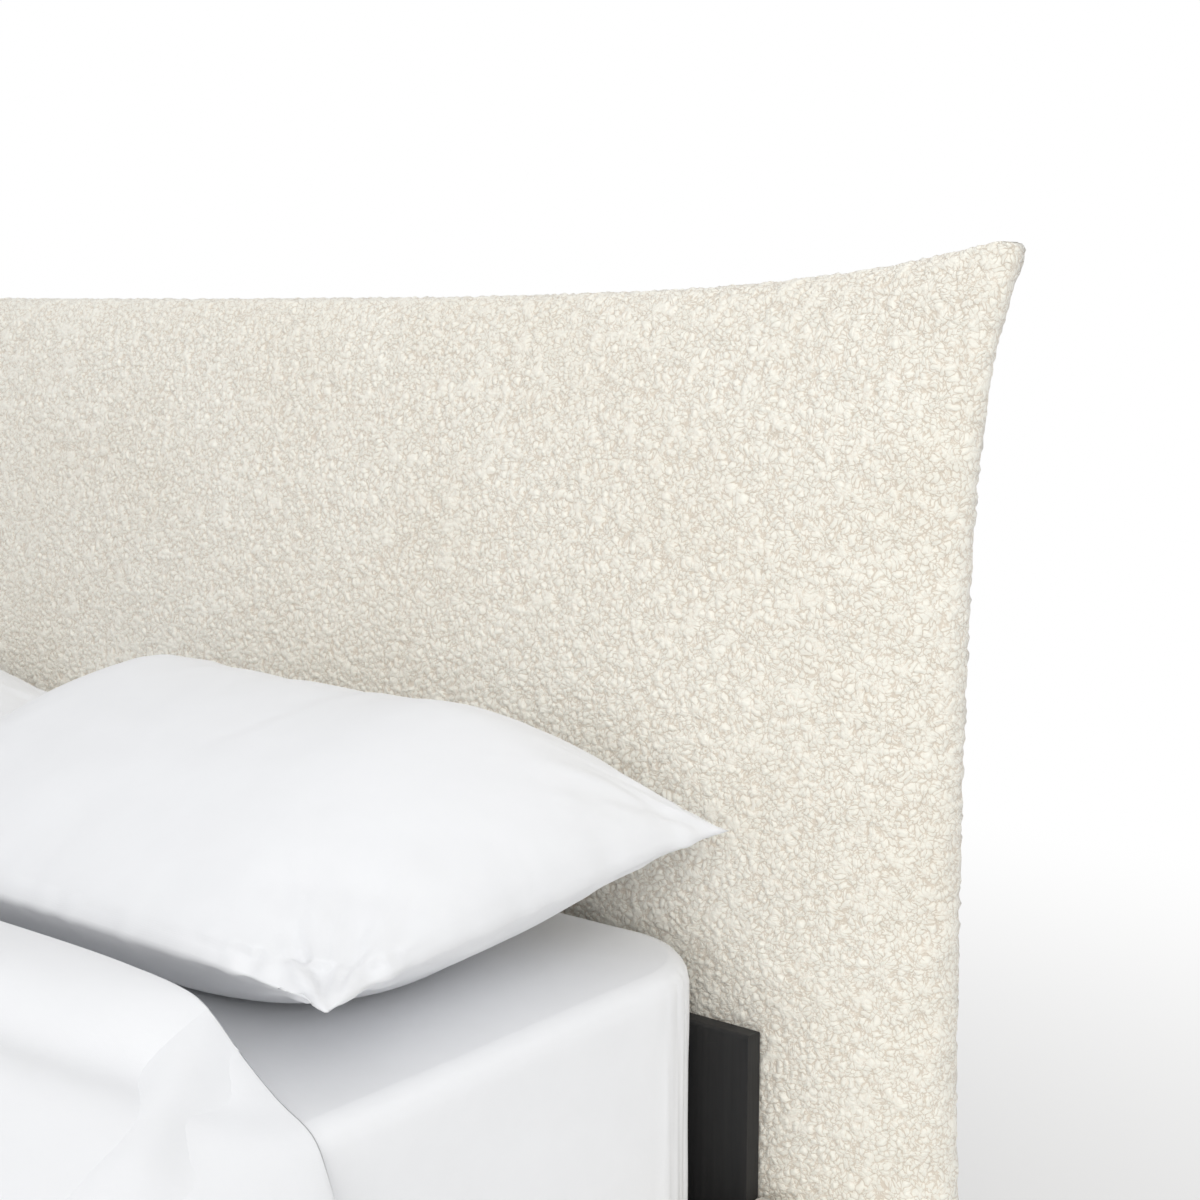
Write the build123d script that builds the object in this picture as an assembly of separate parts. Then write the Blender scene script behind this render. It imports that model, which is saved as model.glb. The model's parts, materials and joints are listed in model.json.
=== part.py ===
from build123d import *
import math
import os

# Upholstered bed: a low padded base on a slatted frame, with a headboard shaped like one
# big pillow, a mattress in its fitted sheet, two pillows and a duvet.
# Millimetres. X runs across the bed, Y towards the head end, Z up from the floor.
# The origin is on the floor, under the middle of the whole bed.

# Mattress
mattress_width = 1524.0
mattress_length = 2030.0
mattress_top = 602.0
mattress_underside = 332.0
mattress_plan_radius = 100.0
mattress_edge_radius = 24.0
sheet_thickness = 2.0
sheet_turn_under = 150.0

# Base rails
rail_gap = 13.0
rail_thickness = 22.0
rail_bottom = 110.0
rail_top = 360.0
rail_foam = 12.0
rail_top_foam = 6.0
cover_thickness = 5.0
cover_flap_drop = 45.0
cover_corner_radius = 19.0
cover_edge_radius = 10.0

# Head panel, posts and arms
panel_gap = 8.0
panel_thickness = 18.0
panel_top = 523.0
post_width = 90.0
post_depth = 32.0
post_height = 950.0
post_x = 560.0
arm_width = 60.0
arm_bottom = 115.0
arm_top = 185.0

# Headboard cushion: corner tips, how far the seams dip between them, and its crown
seam_setback = 94.0
cushion_half_width = 976.0
cushion_top = 1199.0
cushion_bottom = 193.0
seam_dip = 53.0
side_dip_run = 95.0
level_dip_run = 170.0
ear_radius = 18.0
seam_half_thickness = 6.0
crown_depth = 88.0
pressed_depth = 62.0
press_fade = 120.0
side_ramp = 330.0
top_ramp = 420.0
bottom_ramp = 330.0
cushion_back_depth = 30.0
cushion_rim_depth = 10.0
cushion_back_inset = 14.0
headboard_cover_thickness = 6.0
board_thickness = 18.0
board_half_width = 880.0
board_bottom = 285.0
board_top = 1110.0
board_corner_radius = 60.0

# Slats and their supports
slat_count = 12
slat_width = 90.0
slat_thickness = 18.0
slat_end_gap = 5.0
slat_end_margin = 50.0
slat_top = 330.0
tape_width = 25.0
tape_thickness = 1.6
tape_x = 380.0
ledge_size = 30.0
ledge_screw_count = 8
beam_width = 45.0
beam_height = 70.0
hanger_thickness = 2.0
hanger_depth = 50.0
hanger_plate_width = 90.0
centre_leg_count = 3
tube_radius = 19.0
tube_wall = 1.5
flange_thickness = 3.0
flange_length = 90.0
foot_radius = 22.0
foot_height = 10.0
foot_plug_height = 30.0

# Corner legs, brackets and fasteners
leg_size = 60.0
leg_top = 300.0
glide_height = 8.0
glide_radius = 20.0
glide_pin_radius = 4.0
glide_pin_length = 20.0
bracket_size = 50.0
bracket_thickness = 3.0
bracket_bottom = 140.0
bracket_top = 250.0
bolt_radius = 4.0
bolt_head_radius = 6.5
bolt_head_height = 5.0
counterbore_radius = 9.0
counterbore_depth = 8.0
bolt_bite = 15.0
screw_radius = 2.2
screw_head_radius = 4.4
screw_head_height = 2.5
screw_bite = 12.0
tee_nut_flange_radius = 9.0
tee_nut_flange_thickness = 1.5
tee_nut_barrel_radius = 5.0

# Bedding
body_clearance = 0.6
duvet_top = 676.0
duvet_hem = 386.0
duvet_overhang = 44.0
duvet_head_setback = 478.0
duvet_plan_radius = 120.0
duvet_shoulder_radius = 68.0
duvet_head_radius = 30.0
duvet_skin = 2.0
pillow_length = 700.0
pillow_depth = 450.0
pillow_dip = 14.0
pillow_dip_run = 70.0
pillow_ear_radius = 8.0
pillow_seam_height = 86.0
pillow_crown = 125.0
pillow_belly = 85.0
pillow_seam_half_thickness = 3.0
pillow_edge_ramp = 200.0
pillow_setback = 6.0
pillow_side_setback = 10.0
pillow_skin = 1.5
surface_margin = 20.0
prism_reach = 200.0
bracket_hole_inset_z = 25.0
bracket_hole_inset = 28.0
ledge_screw_inset = 60.0
hanger_screw_low = 14.0
hanger_screw_high = 16.0
flange_screw_offset = 34.0
small_edge_radius = 3.0

# Places worked out from the sizes above
rail_build_up = rail_thickness + rail_foam + cover_thickness
foot_reach = mattress_length + rail_gap + rail_build_up
head_reach = seam_setback + cushion_back_depth + post_depth
overall_length = foot_reach + head_reach
mattress_back_y = overall_length / 2 - head_reach
mattress_front_y = mattress_back_y - mattress_length
mattress_middle_y = mattress_back_y - mattress_length / 2
rail_inner_x = mattress_width / 2 + rail_gap
foot_inner_y = mattress_front_y - rail_gap
panel_front_y = mattress_back_y + panel_gap
panel_back_y = panel_front_y + panel_thickness
panel_half_width = rail_inner_x - cover_thickness - 1.0
seam_y = mattress_back_y + seam_setback
cushion_back_y = seam_y + cushion_back_depth
post_back_y = cushion_back_y + post_depth
board_back_y = cushion_back_y - headboard_cover_thickness
board_front_y = board_back_y - board_thickness
slat_underside = slat_top - slat_thickness
beam_bottom = slat_underside - beam_height
cushion_bolt_heights = (420.0, 860.0)
arm_bolt_heights = (132.0, 168.0)


def block(x_range, y_range, z_range):
    """A box between two corners."""
    size = [high - low for low, high in (x_range, y_range, z_range)]
    middle = [(high + low) / 2 for low, high in (x_range, y_range, z_range)]
    return Pos(*middle) * Box(*size)


def mirrored(shape, side):
    """The right-hand shape, or its mirror image for the left-hand side."""
    if side > 0:
        return shape
    return mirror(shape, about=Plane.YZ)


def rod(start, direction, radius, length):
    """A round bar from a point along a direction."""
    plane = Plane(origin=start, z_dir=direction)
    return plane * Cylinder(radius, length, align=(Align.CENTER, Align.CENTER, Align.MIN))


def bolt(seat, direction, length):
    """A hexagon bolt: its head sits on the seat point and its shank follows the direction."""
    plane = Plane(origin=seat, z_dir=direction)
    shank = plane * Cylinder(bolt_radius, length, align=(Align.CENTER, Align.CENTER, Align.MIN))
    head = plane * extrude(RegularPolygon(bolt_head_radius, 6), -bolt_head_height)
    return shank + head


def wood_screw(seat, direction, length):
    """A flat-headed wood screw whose head lies flush with the seat point."""
    head = rod(seat, direction, screw_head_radius, screw_head_height)
    return head + rod(seat, direction, screw_radius, length)


def group(shapes):
    """Separate solids kept together in one node."""
    solids = [solid for shape in shapes for solid in shape.solids()]
    return Compound(children=solids)


def drilled(shape, tools):
    """The shape with every tool's solids cut out of it."""
    for tool in tools:
        shape = shape - tool
    return shape


def export_node(name, shape):
    """One STEP file for one sub-part."""
    export_step(shape, "parts/" + name + ".step")


# ---- headboard cushion ----

def dip(distance, run, depth=seam_dip):
    """How far a seam has pulled in at a distance from its corner tip."""
    return depth * (1 - math.exp(-max(distance, 0) / run))


def seam_half_width(z):
    """Half width of the cushion at a height."""
    distance = min(cushion_top - z, z - cushion_bottom)
    return cushion_half_width - dip(distance, side_dip_run)


def seam_rise(x):
    """How far the top seam drops, and the bottom seam rises, at a place across the bed."""
    return dip(cushion_half_width - abs(x), level_dip_run)


def ramp(distance, run):
    """Swelling of a filled cushion from 0 at its seam to 1 at its crown."""
    share = min(max(distance / run, 0), 1)
    return math.sin(share * math.pi / 2)


def smooth_step(share):
    share = min(max(share, 0), 1)
    return share * share * (3 - 2 * share)


def crown_at(x, z):
    """How far the cushion's front stands ahead of its seam plane."""
    across = ramp(seam_half_width(z) - abs(x), side_ramp)
    down = ramp(cushion_top - seam_rise(x) - z, top_ramp)
    up = ramp(z - cushion_bottom - seam_rise(x), bottom_ramp)
    swell = seam_half_thickness + (crown_depth - seam_half_thickness) * across * down * up
    fade = smooth_step((z - panel_top) / press_fade)
    limit = pressed_depth + (crown_depth - pressed_depth) * fade
    return min(swell, limit)


def cushion_outline(tuck):
    """The pillow's outline in X and Z, drawn in by the tuck."""
    half_width = cushion_half_width - 2 * tuck
    top = cushion_top - 2 * tuck
    bottom = cushion_bottom + 2 * tuck
    depth = seam_dip - tuck
    half_height = (top - bottom) / 2
    level_shares = (0.06, 0.14, 0.3, 0.55, 1.0)
    upright_shares = (0.08, 0.2, 0.42, 1.0)
    level_runs = [half_width * share for share in level_shares]
    upright_runs = [half_height * share for share in upright_shares]
    level = [(run, dip(run, level_dip_run, depth)) for run in level_runs]
    upright = [(run, dip(run, side_dip_run, depth)) for run in upright_runs]
    top_right = [(half_width - run, top - drop) for run, drop in level]
    right_upper = [(half_width - drop, top - run) for run, drop in upright]
    top_points = [(-half_width, top)]
    top_points += [(-x, z) for x, z in top_right]
    top_points += [(x, z) for x, z in reversed(top_right[:-1])]
    top_points += [(half_width, top)]
    right_points = [(half_width, top)] + right_upper
    right_points += [(x, top + bottom - z) for x, z in reversed(right_upper[:-1])]
    right_points += [(half_width, bottom)]
    bottom_points = [(x, top + bottom - z) for x, z in reversed(top_points)]
    left_points = [(-x, z) for x, z in reversed(right_points)]
    edges = [Spline(*points) for points in (top_points, right_points, bottom_points, left_points)]
    face = make_face(Wire(edges))
    return fillet(face.vertices(), ear_radius)


def cushion_form(tuck):
    """The cushion as one solid, drawn in by the tuck on every side."""
    rim_y = seam_y + cushion_rim_depth - tuck
    rim_plane = Plane(origin=(0, rim_y, 0), x_dir=(1, 0, 0), z_dir=(0, -1, 0))
    back_plane = Plane(origin=(0, cushion_back_y - tuck, 0), x_dir=(1, 0, 0), z_dir=(0, -1, 0))
    rim_prism = extrude(rim_plane * cushion_outline(tuck), seam_setback + cushion_rim_depth)
    back_outline = cushion_outline(tuck + cushion_back_inset)
    back_length = cushion_back_depth - cushion_rim_depth + seam_half_thickness
    back_prism = extrude(back_plane * back_outline, back_length)
    columns = 25
    rows = 17
    x_reach = cushion_half_width + surface_margin
    z_low = cushion_bottom - surface_margin
    z_high = cushion_top + surface_margin
    grid = []
    for column in range(columns):
        x = -x_reach + 2 * x_reach * column / (columns - 1)
        heights = [z_low + (z_high - z_low) * row / (rows - 1) for row in range(rows)]
        grid.append([(x, seam_y - crown_at(x, z) + tuck, z) for z in heights])
    front = Face.make_surface_from_array_of_points(grid, tol=0.3, min_deg=3, max_deg=5)
    filled = extrude(front, 300, dir=(0, 1, 0))
    return (rim_prism & filled) + back_prism


def headboard_board():
    middle = (0, board_back_y, (board_top + board_bottom) / 2)
    face = Plane(origin=middle, x_dir=(1, 0, 0), z_dir=(0, -1, 0))
    outline = RectangleRounded(2 * board_half_width, board_top - board_bottom, board_corner_radius)
    return extrude(face * outline, board_thickness)


def cushion_bolts():
    """Bolts through each post into the tee nuts of the cushion's board."""
    seat_y = post_back_y - counterbore_depth
    seats = [(side * post_x, seat_y, z) for side in (-1, 1) for z in cushion_bolt_heights]
    length = post_back_y - counterbore_depth - board_front_y
    return [bolt(seat, (0, -1, 0), length) for seat in seats]


def arm_bolts():
    """Bolts through each post, and through the head panel, into the ends of the arms."""
    made = []
    for side in (-1, 1):
        for z in arm_bolt_heights:
            rear_seat = (side * post_x, post_back_y - counterbore_depth, z)
            made.append(bolt(rear_seat, (0, -1, 0), post_depth - counterbore_depth + 2 * bolt_bite))
            seat = (side * post_x, panel_front_y, z)
            made.append(bolt(seat, (0, 1, 0), panel_thickness + 2 * bolt_bite))
    return made


def tee_nuts():
    made = []
    for side in (-1, 1):
        for z in cushion_bolt_heights:
            face = (side * post_x, board_front_y, z)
            flange = rod(face, (0, -1, 0), tee_nut_flange_radius, tee_nut_flange_thickness)
            barrel = rod(face, (0, 1, 0), tee_nut_barrel_radius, board_thickness - 2)
            bore_start = (side * post_x, board_front_y - 2 * tee_nut_flange_thickness, z)
            bore = rod(bore_start, (0, 1, 0), bolt_radius, board_thickness + 5)
            made.append(flange + barrel - bore)
    return made


def post(side):
    """An upright that carries the headboard, with counterbores for its bolts."""
    x = side * post_x
    across = (x - post_width / 2, x + post_width / 2)
    shape = block(across, (cushion_back_y, post_back_y), (glide_height, post_height))
    heights = cushion_bolt_heights + arm_bolt_heights
    seats = [(x, post_back_y, z) for z in heights]
    pockets = [rod(seat, (0, -1, 0), counterbore_radius, counterbore_depth) for seat in seats]
    return drilled(shape, pockets + cushion_bolts() + arm_bolts() + glides_at(post_glide_places()))


def arm(side):
    """The block that ties an upright to the head panel below the cushion."""
    x = side * post_x
    across = (x - arm_width / 2, x + arm_width / 2)
    shape = block(across, (panel_back_y, cushion_back_y), (arm_bottom, arm_top))
    return drilled(shape, arm_bolts())


# ---- glides and legs ----

def post_glide_places():
    return [(side * post_x, cushion_back_y + post_depth / 2) for side in (-1, 1)]


def leg_glide_places():
    leg_x = rail_inner_x - leg_size / 2
    return [(side * leg_x, foot_inner_y + leg_size / 2) for side in (-1, 1)]


def glides_at(places):
    """Nylon glides, each a disc with a pin driven up into the wood."""
    made = []
    for x, y in places:
        radius = min(glide_radius, post_depth / 2 - 1)
        disc = rod((x, y, 0), (0, 0, 1), radius, glide_height)
        rim = disc.edges().filter_by(GeomType.CIRCLE).sort_by(Axis.Z)[0]
        disc = fillet(rim, 2)
        pin = rod((x, y, glide_height), (0, 0, 1), glide_pin_radius, glide_pin_length)
        made.append(disc + pin)
    return made


def leg_bolts():
    """Bolts through each corner leg into the side rail and the foot rail."""
    made = []
    leg_inner_x = rail_inner_x - leg_size
    reach = leg_size + bolt_bite
    for side in (-1, 1):
        for z in (150.0, 240.0):
            seat = (side * leg_inner_x, foot_inner_y + leg_size / 2, z)
            made.append(bolt(seat, (side, 0, 0), reach))
        for z in (180.0, 270.0):
            seat = (side * (rail_inner_x - leg_size / 2), foot_inner_y + leg_size, z)
            made.append(bolt(seat, (0, -1, 0), reach))
    return made


def foot_leg(side):
    shape = block(
        (rail_inner_x - leg_size, rail_inner_x),
        (foot_inner_y, foot_inner_y + leg_size),
        (glide_height, leg_top),
    )
    tools = leg_bolts() + glides_at(leg_glide_places())
    return drilled(mirrored(shape, side), tools)


# ---- rails with their foam and covers ----

def corner_bolts():
    """Bolts through the two head corner brackets into the side rails and the head panel."""
    made = []
    for side in (-1, 1):
        for z in (bracket_bottom + bracket_hole_inset_z, bracket_top - bracket_hole_inset_z):
            rail_seat = (side * (rail_inner_x - bracket_thickness), panel_front_y - bracket_hole_inset, z)
            made.append(bolt(rail_seat, (side, 0, 0), bracket_thickness + bolt_bite))
            panel_seat = (side * (rail_inner_x - bracket_hole_inset), panel_front_y - bracket_thickness, z)
            made.append(bolt(panel_seat, (0, 1, 0), bracket_thickness + bolt_bite))
    return made


def corner_bracket(side):
    heights = (bracket_bottom, bracket_top)
    on_rail = block(
        (rail_inner_x - bracket_thickness, rail_inner_x),
        (panel_front_y - bracket_size, panel_front_y),
        heights,
    )
    on_panel = block(
        (rail_inner_x - bracket_size, rail_inner_x),
        (panel_front_y - bracket_thickness, panel_front_y),
        heights,
    )
    return drilled(mirrored(on_rail + on_panel, side), corner_bolts())


def ledge_screws():
    """Screws through each slat ledge into its side rail."""
    made = []
    start = foot_inner_y + leg_size + ledge_screw_inset
    step = (panel_front_y - 60 - start) / (ledge_screw_count - 1)
    z = slat_underside - ledge_size / 2
    for side in (-1, 1):
        for index in range(ledge_screw_count):
            seat = (side * (rail_inner_x - ledge_size), start + step * index, z)
            made.append(wood_screw(seat, (side, 0, 0), ledge_size + screw_bite))
    return made


def slat_ledge(side):
    shape = block(
        (rail_inner_x - ledge_size, rail_inner_x),
        (foot_inner_y + leg_size, panel_front_y),
        (slat_underside - ledge_size, slat_underside),
    )
    shape = mirrored(shape, side)
    return drilled(shape, [screw for screw in ledge_screws() if screw.center().X * side > 0])


def side_rail(side):
    shape = block(
        (rail_inner_x, rail_inner_x + rail_thickness),
        (foot_inner_y, panel_back_y),
        (rail_bottom, rail_top),
    )
    tools = leg_bolts() + corner_bolts() + ledge_screws()
    shape = mirrored(shape, side)
    return drilled(shape, [tool for tool in tools if tool.center().X * side > 0])


def side_foam(side):
    """Foam down the outside of a side rail and over its top edge."""
    outer = block(
        (rail_inner_x, rail_inner_x + rail_thickness + rail_foam),
        (foot_inner_y, panel_back_y),
        (rail_bottom, rail_top + rail_top_foam),
    )
    wood = block(
        (rail_inner_x, rail_inner_x + rail_thickness),
        (foot_inner_y, panel_back_y),
        (rail_bottom, rail_top),
    )
    return mirrored(outer - wood, side)


def side_cover(side):
    """Fabric round a side rail: outside, over the top, down inside and under the bottom edge."""
    outer_x = rail_inner_x + rail_build_up
    lengthwise = (foot_inner_y, panel_back_y)
    top = rail_top + rail_top_foam + cover_thickness
    outer = block((rail_inner_x, outer_x), lengthwise, (rail_bottom - cover_thickness, top))
    long_edges = outer.edges().filter_by(Axis.Y).group_by(Axis.X)[-1]
    outer = fillet(long_edges, cover_edge_radius)
    flap = block(
        (rail_inner_x - cover_thickness, rail_inner_x),
        lengthwise,
        (rail_top - cover_flap_drop, top),
    )
    core = block(
        (rail_inner_x, outer_x - cover_thickness),
        lengthwise,
        (rail_bottom, rail_top + rail_top_foam),
    )
    core_edges = core.edges().filter_by(Axis.Y).group_by(Axis.X)[-1]
    core = fillet(core_edges, cover_edge_radius - cover_thickness)
    return mirrored(outer + flap - core, side)


def side_foam_rounded(side):
    """The side foam with its outer edges rounded to fit its cover."""
    foam = side_foam(1)
    outer_edges = foam.edges().filter_by(Axis.Y).group_by(Axis.X)[-1]
    return mirrored(fillet(outer_edges, cover_edge_radius - cover_thickness), side)


def foot_envelope(build_up, bottom, top, radius):
    """Plan-rounded block round the foot rail's board, with the given build-up of layers."""
    half_width = rail_inner_x + rail_thickness + build_up
    front_y = foot_inner_y - rail_thickness - build_up
    shape = block((-half_width, half_width), (front_y, foot_inner_y), (bottom, top))
    corners = shape.edges().filter_by(Axis.Z).group_by(Axis.Y)[0]
    return fillet(corners, radius)


def foot_rail():
    half_width = rail_inner_x + rail_thickness
    shape = block(
        (-half_width, half_width),
        (foot_inner_y - rail_thickness, foot_inner_y),
        (rail_bottom, rail_top),
    )
    return drilled(shape, leg_bolts() + hanger_screws())


def foot_foam():
    core = block(
        (-rail_inner_x - rail_thickness, rail_inner_x + rail_thickness),
        (foot_inner_y - rail_thickness, foot_inner_y),
        (rail_bottom, rail_top),
    )
    radius = cover_corner_radius - cover_thickness
    return foot_envelope(rail_foam, rail_bottom, rail_top + rail_top_foam, radius) - core


def foot_cover():
    """Fabric round the foot rail and its two ends."""
    top = rail_top + rail_top_foam + cover_thickness
    bottom = rail_bottom - cover_thickness
    outer = foot_envelope(rail_foam + cover_thickness, bottom, top, cover_corner_radius)
    radius = cover_corner_radius - cover_thickness
    core = foot_envelope(rail_foam, rail_bottom, rail_top + rail_top_foam, radius)
    flap_half_width = rail_inner_x - 2 * cover_thickness
    flap = block(
        (-flap_half_width, flap_half_width),
        (foot_inner_y, foot_inner_y + cover_thickness),
        (rail_top - cover_flap_drop, top),
    )
    return outer - core + flap


def head_panel():
    shape = block(
        (-panel_half_width, panel_half_width),
        (panel_front_y, panel_back_y),
        (rail_bottom, panel_top),
    )
    top_edges = shape.edges().filter_by(Axis.X).group_by(Axis.Z)[-1]
    shape = fillet(top_edges, small_edge_radius)
    return drilled(shape, corner_bolts() + arm_bolts() + hanger_screws())


# ---- slats, beam and centre legs ----

def slat_step():
    first = foot_inner_y + slat_end_margin + slat_width / 2
    last = panel_front_y - slat_end_margin - slat_width / 2
    return first, (last - first) / (slat_count - 1)


def slat(index):
    first, step = slat_step()
    middle = first + step * index
    half_length = rail_inner_x - slat_end_gap
    shape = block(
        (-half_length, half_length),
        (middle - slat_width / 2, middle + slat_width / 2),
        (slat_underside, slat_top),
    )
    return fillet(shape.edges().filter_by(Axis.X), small_edge_radius)


def slat_tapes():
    """Two webbing tapes laid along the tops of the slats, which keep them spaced."""
    first, step = slat_step()
    lengthwise = (first - slat_width / 2, first + step * (slat_count - 1) + slat_width / 2)
    heights = (slat_top, slat_top + tape_thickness)
    half_width = tape_width / 2
    return [block((x - half_width, x + half_width), lengthwise, heights) for x in (-tape_x, tape_x)]


def beam_ends():
    """Rail faces that the centre beam's hangers are fixed to, with their inward directions."""
    return [(foot_inner_y, 1), (panel_front_y, -1)]


def beam_hanger(face_y, inward):
    """A steel stirrup: a plate on the rail and a trough that the beam drops into."""
    plate_y = sorted((face_y, face_y + inward * hanger_thickness))
    trough_y = sorted((face_y, face_y + inward * hanger_depth))
    half_outer = beam_width / 2 + hanger_thickness
    plate_x = (-hanger_plate_width / 2, hanger_plate_width / 2)
    plate = block(plate_x, plate_y, (beam_bottom, slat_underside - 2))
    trough_z = (beam_bottom - hanger_thickness, slat_underside - 2)
    trough = block((-half_outer, half_outer), trough_y, trough_z)
    hollow_y = sorted((face_y + inward * hanger_thickness, face_y + inward * (hanger_depth + 1)))
    hollow = block((-beam_width / 2, beam_width / 2), hollow_y, (beam_bottom, slat_underside))
    return drilled(plate + trough - hollow, hanger_screws())


def hanger_screws():
    made = []
    for face_y, inward in beam_ends():
        for x in (-35.0, 35.0):
            for z in (beam_bottom + hanger_screw_low, slat_underside - hanger_screw_high):
                seat = (x, face_y + inward * (hanger_thickness + screw_head_height), z)
                length = hanger_thickness + screw_head_height + screw_bite
                made.append(wood_screw(seat, (0, -inward, 0), length))
    return made


def centre_leg_places():
    span = panel_front_y - foot_inner_y
    step = span / (centre_leg_count + 1)
    return [foot_inner_y + step * (index + 1) for index in range(centre_leg_count)]


def flange_screws():
    made = []
    for y in centre_leg_places():
        for offset in (-flange_screw_offset, flange_screw_offset):
            seat = (0, y + offset, beam_bottom - flange_thickness - screw_head_height)
            length = flange_thickness + screw_head_height + screw_bite
            made.append(wood_screw(seat, (0, 0, 1), length))
    return made


def centre_beam():
    low_y = foot_inner_y + hanger_thickness
    high_y = panel_front_y - hanger_thickness
    shape = block((-beam_width / 2, beam_width / 2), (low_y, high_y), (beam_bottom, slat_underside))
    return drilled(shape, flange_screws())


def centre_leg(y):
    """A steel tube under the beam with a welded screw flange."""
    tube_top = beam_bottom - flange_thickness
    tube = rod((0, y, foot_height), (0, 0, 1), tube_radius, tube_top - foot_height)
    bore = rod((0, y, foot_height), (0, 0, 1), tube_radius - tube_wall, tube_top - foot_height)
    half_width = beam_width / 2
    half_length = flange_length / 2
    flange = block(
        (-half_width, half_width),
        (y - half_length, y + half_length),
        (tube_top, beam_bottom),
    )
    return drilled(tube - bore + flange, flange_screws())


def centre_foot(y):
    disc = rod((0, y, 0), (0, 0, 1), foot_radius, foot_height)
    rim = disc.edges().filter_by(GeomType.CIRCLE).sort_by(Axis.Z)[0]
    disc = fillet(rim, small_edge_radius)
    return disc + rod((0, y, foot_height), (0, 0, 1), tube_radius - tube_wall, foot_plug_height)


# ---- mattress, sheet and bedding ----

def mattress_form(grow):
    """The mattress in its sheet, grown or shrunk evenly by an amount."""
    width = mattress_width + 2 * grow
    length = mattress_length + 2 * grow
    plan = RectangleRounded(width, length, mattress_plan_radius + grow)
    height = mattress_top - mattress_underside + 2 * grow
    shape = Pos(0, mattress_middle_y, mattress_underside - grow) * extrude(plan, height)
    rims = shape.faces().filter_by(Axis.Z).edges()
    return fillet(rims, mattress_edge_radius + grow)


def fitted_sheet():
    """Sheet over the top and sides, with a rim turned under the mattress."""
    window_width = mattress_width - 2 * sheet_turn_under
    window_length = mattress_length - 2 * sheet_turn_under
    window_plan = RectangleRounded(window_width, window_length, mattress_plan_radius)
    window = extrude(window_plan, 2 * sheet_thickness)
    placed = Pos(0, mattress_middle_y, mattress_underside - sheet_thickness / 2) * window
    return mattress_form(0) - mattress_form(-sheet_thickness) - placed


def duvet_form(skin):
    """The duvet as one solid lying over the mattress, drawn in by the thickness of its skin."""
    half_width = mattress_width / 2 + duvet_overhang - skin
    foot_y = mattress_front_y - duvet_overhang + skin
    head_y = mattress_back_y - duvet_head_setback - skin
    shape = block((-half_width, half_width), (foot_y, head_y), (duvet_hem + skin, duvet_top - skin))
    corners = shape.edges().filter_by(Axis.Z).group_by(Axis.Y)[0]
    shape = fillet(corners, duvet_plan_radius - skin)
    shoulder = shape.faces().sort_by(Axis.Z)[-1].edges().sort_by(Axis.Y)[:-1]
    shape = fillet(shoulder, duvet_shoulder_radius - skin)
    head_edge = shape.faces().sort_by(Axis.Y)[-1].edges().sort_by(Axis.Z)[-1]
    shape = fillet(head_edge, duvet_head_radius - skin)
    return shape - mattress_form(body_clearance + skin)


def pillow_outline(tuck):
    """Half-dipped sides between four small corner ears, centred on the origin."""
    half_x = pillow_length / 2 - tuck
    half_y = pillow_depth / 2 - tuck
    shares = (0.12, 0.35, 1.0)
    x_runs = [half_x * share for share in shares]
    y_runs = [half_y * share for share in shares]
    back_right = [(half_x - run, half_y - dip(run, pillow_dip_run, pillow_dip)) for run in x_runs]
    right_back = [(half_x - dip(run, pillow_dip_run, pillow_dip), half_y - run) for run in y_runs]
    back_left = [(-x, y) for x, y in back_right]
    right_front = [(x, -y) for x, y in reversed(right_back[:-1])]
    corner = (half_x, half_y)
    back = [(-half_x, half_y)] + back_left + back_right[-2::-1] + [corner]
    right = [corner] + right_back + right_front + [(half_x, -half_y)]
    front = [(x, -y) for x, y in reversed(back)]
    left = [(-x, y) for x, y in reversed(right)]
    face = make_face(Wire([Spline(*points) for points in (back, right, front, left)]))
    return fillet(face.vertices(), pillow_ear_radius)


def pillow_height(x, y):
    """Swelling of the pillow from 0 at its seam to 1 at its crown."""
    across = ramp(pillow_length / 2 - pillow_dip - abs(x), pillow_edge_ramp)
    along = ramp(pillow_depth / 2 - pillow_dip - abs(y), pillow_edge_ramp)
    return across * along


def pillow_half(height, tuck, upward):
    """Everything on the seam's side of the pillow's upper or lower skin."""
    columns = 15
    rows = 11
    reach_x = pillow_length / 2 + surface_margin / 2
    reach_y = pillow_depth / 2 + surface_margin / 2
    grid = []
    for column in range(columns):
        x = -reach_x + 2 * reach_x * column / (columns - 1)
        line = []
        for row in range(rows):
            y = -reach_y + 2 * reach_y * row / (rows - 1)
            rise = (height - pillow_seam_half_thickness) * pillow_height(x, y)
            swell = pillow_seam_half_thickness + rise
            line.append((x, y, upward * (swell - tuck)))
        grid.append(line)
    skin = Face.make_surface_from_array_of_points(grid, tol=0.2, min_deg=3, max_deg=5)
    return extrude(skin, 300, dir=(0, 0, -upward))


def pillow_form(side, tuck):
    prism = Pos(0, 0, -prism_reach) * extrude(pillow_outline(tuck), 2 * prism_reach)
    shape = prism & pillow_half(pillow_crown, tuck, 1) & pillow_half(pillow_belly, tuck, -1)
    centre_x = mattress_width / 2 - pillow_side_setback - pillow_length / 2
    centre_y = mattress_back_y - pillow_setback - pillow_depth / 2
    return Pos(side * centre_x, centre_y, mattress_top + pillow_seam_height) * shape


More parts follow.
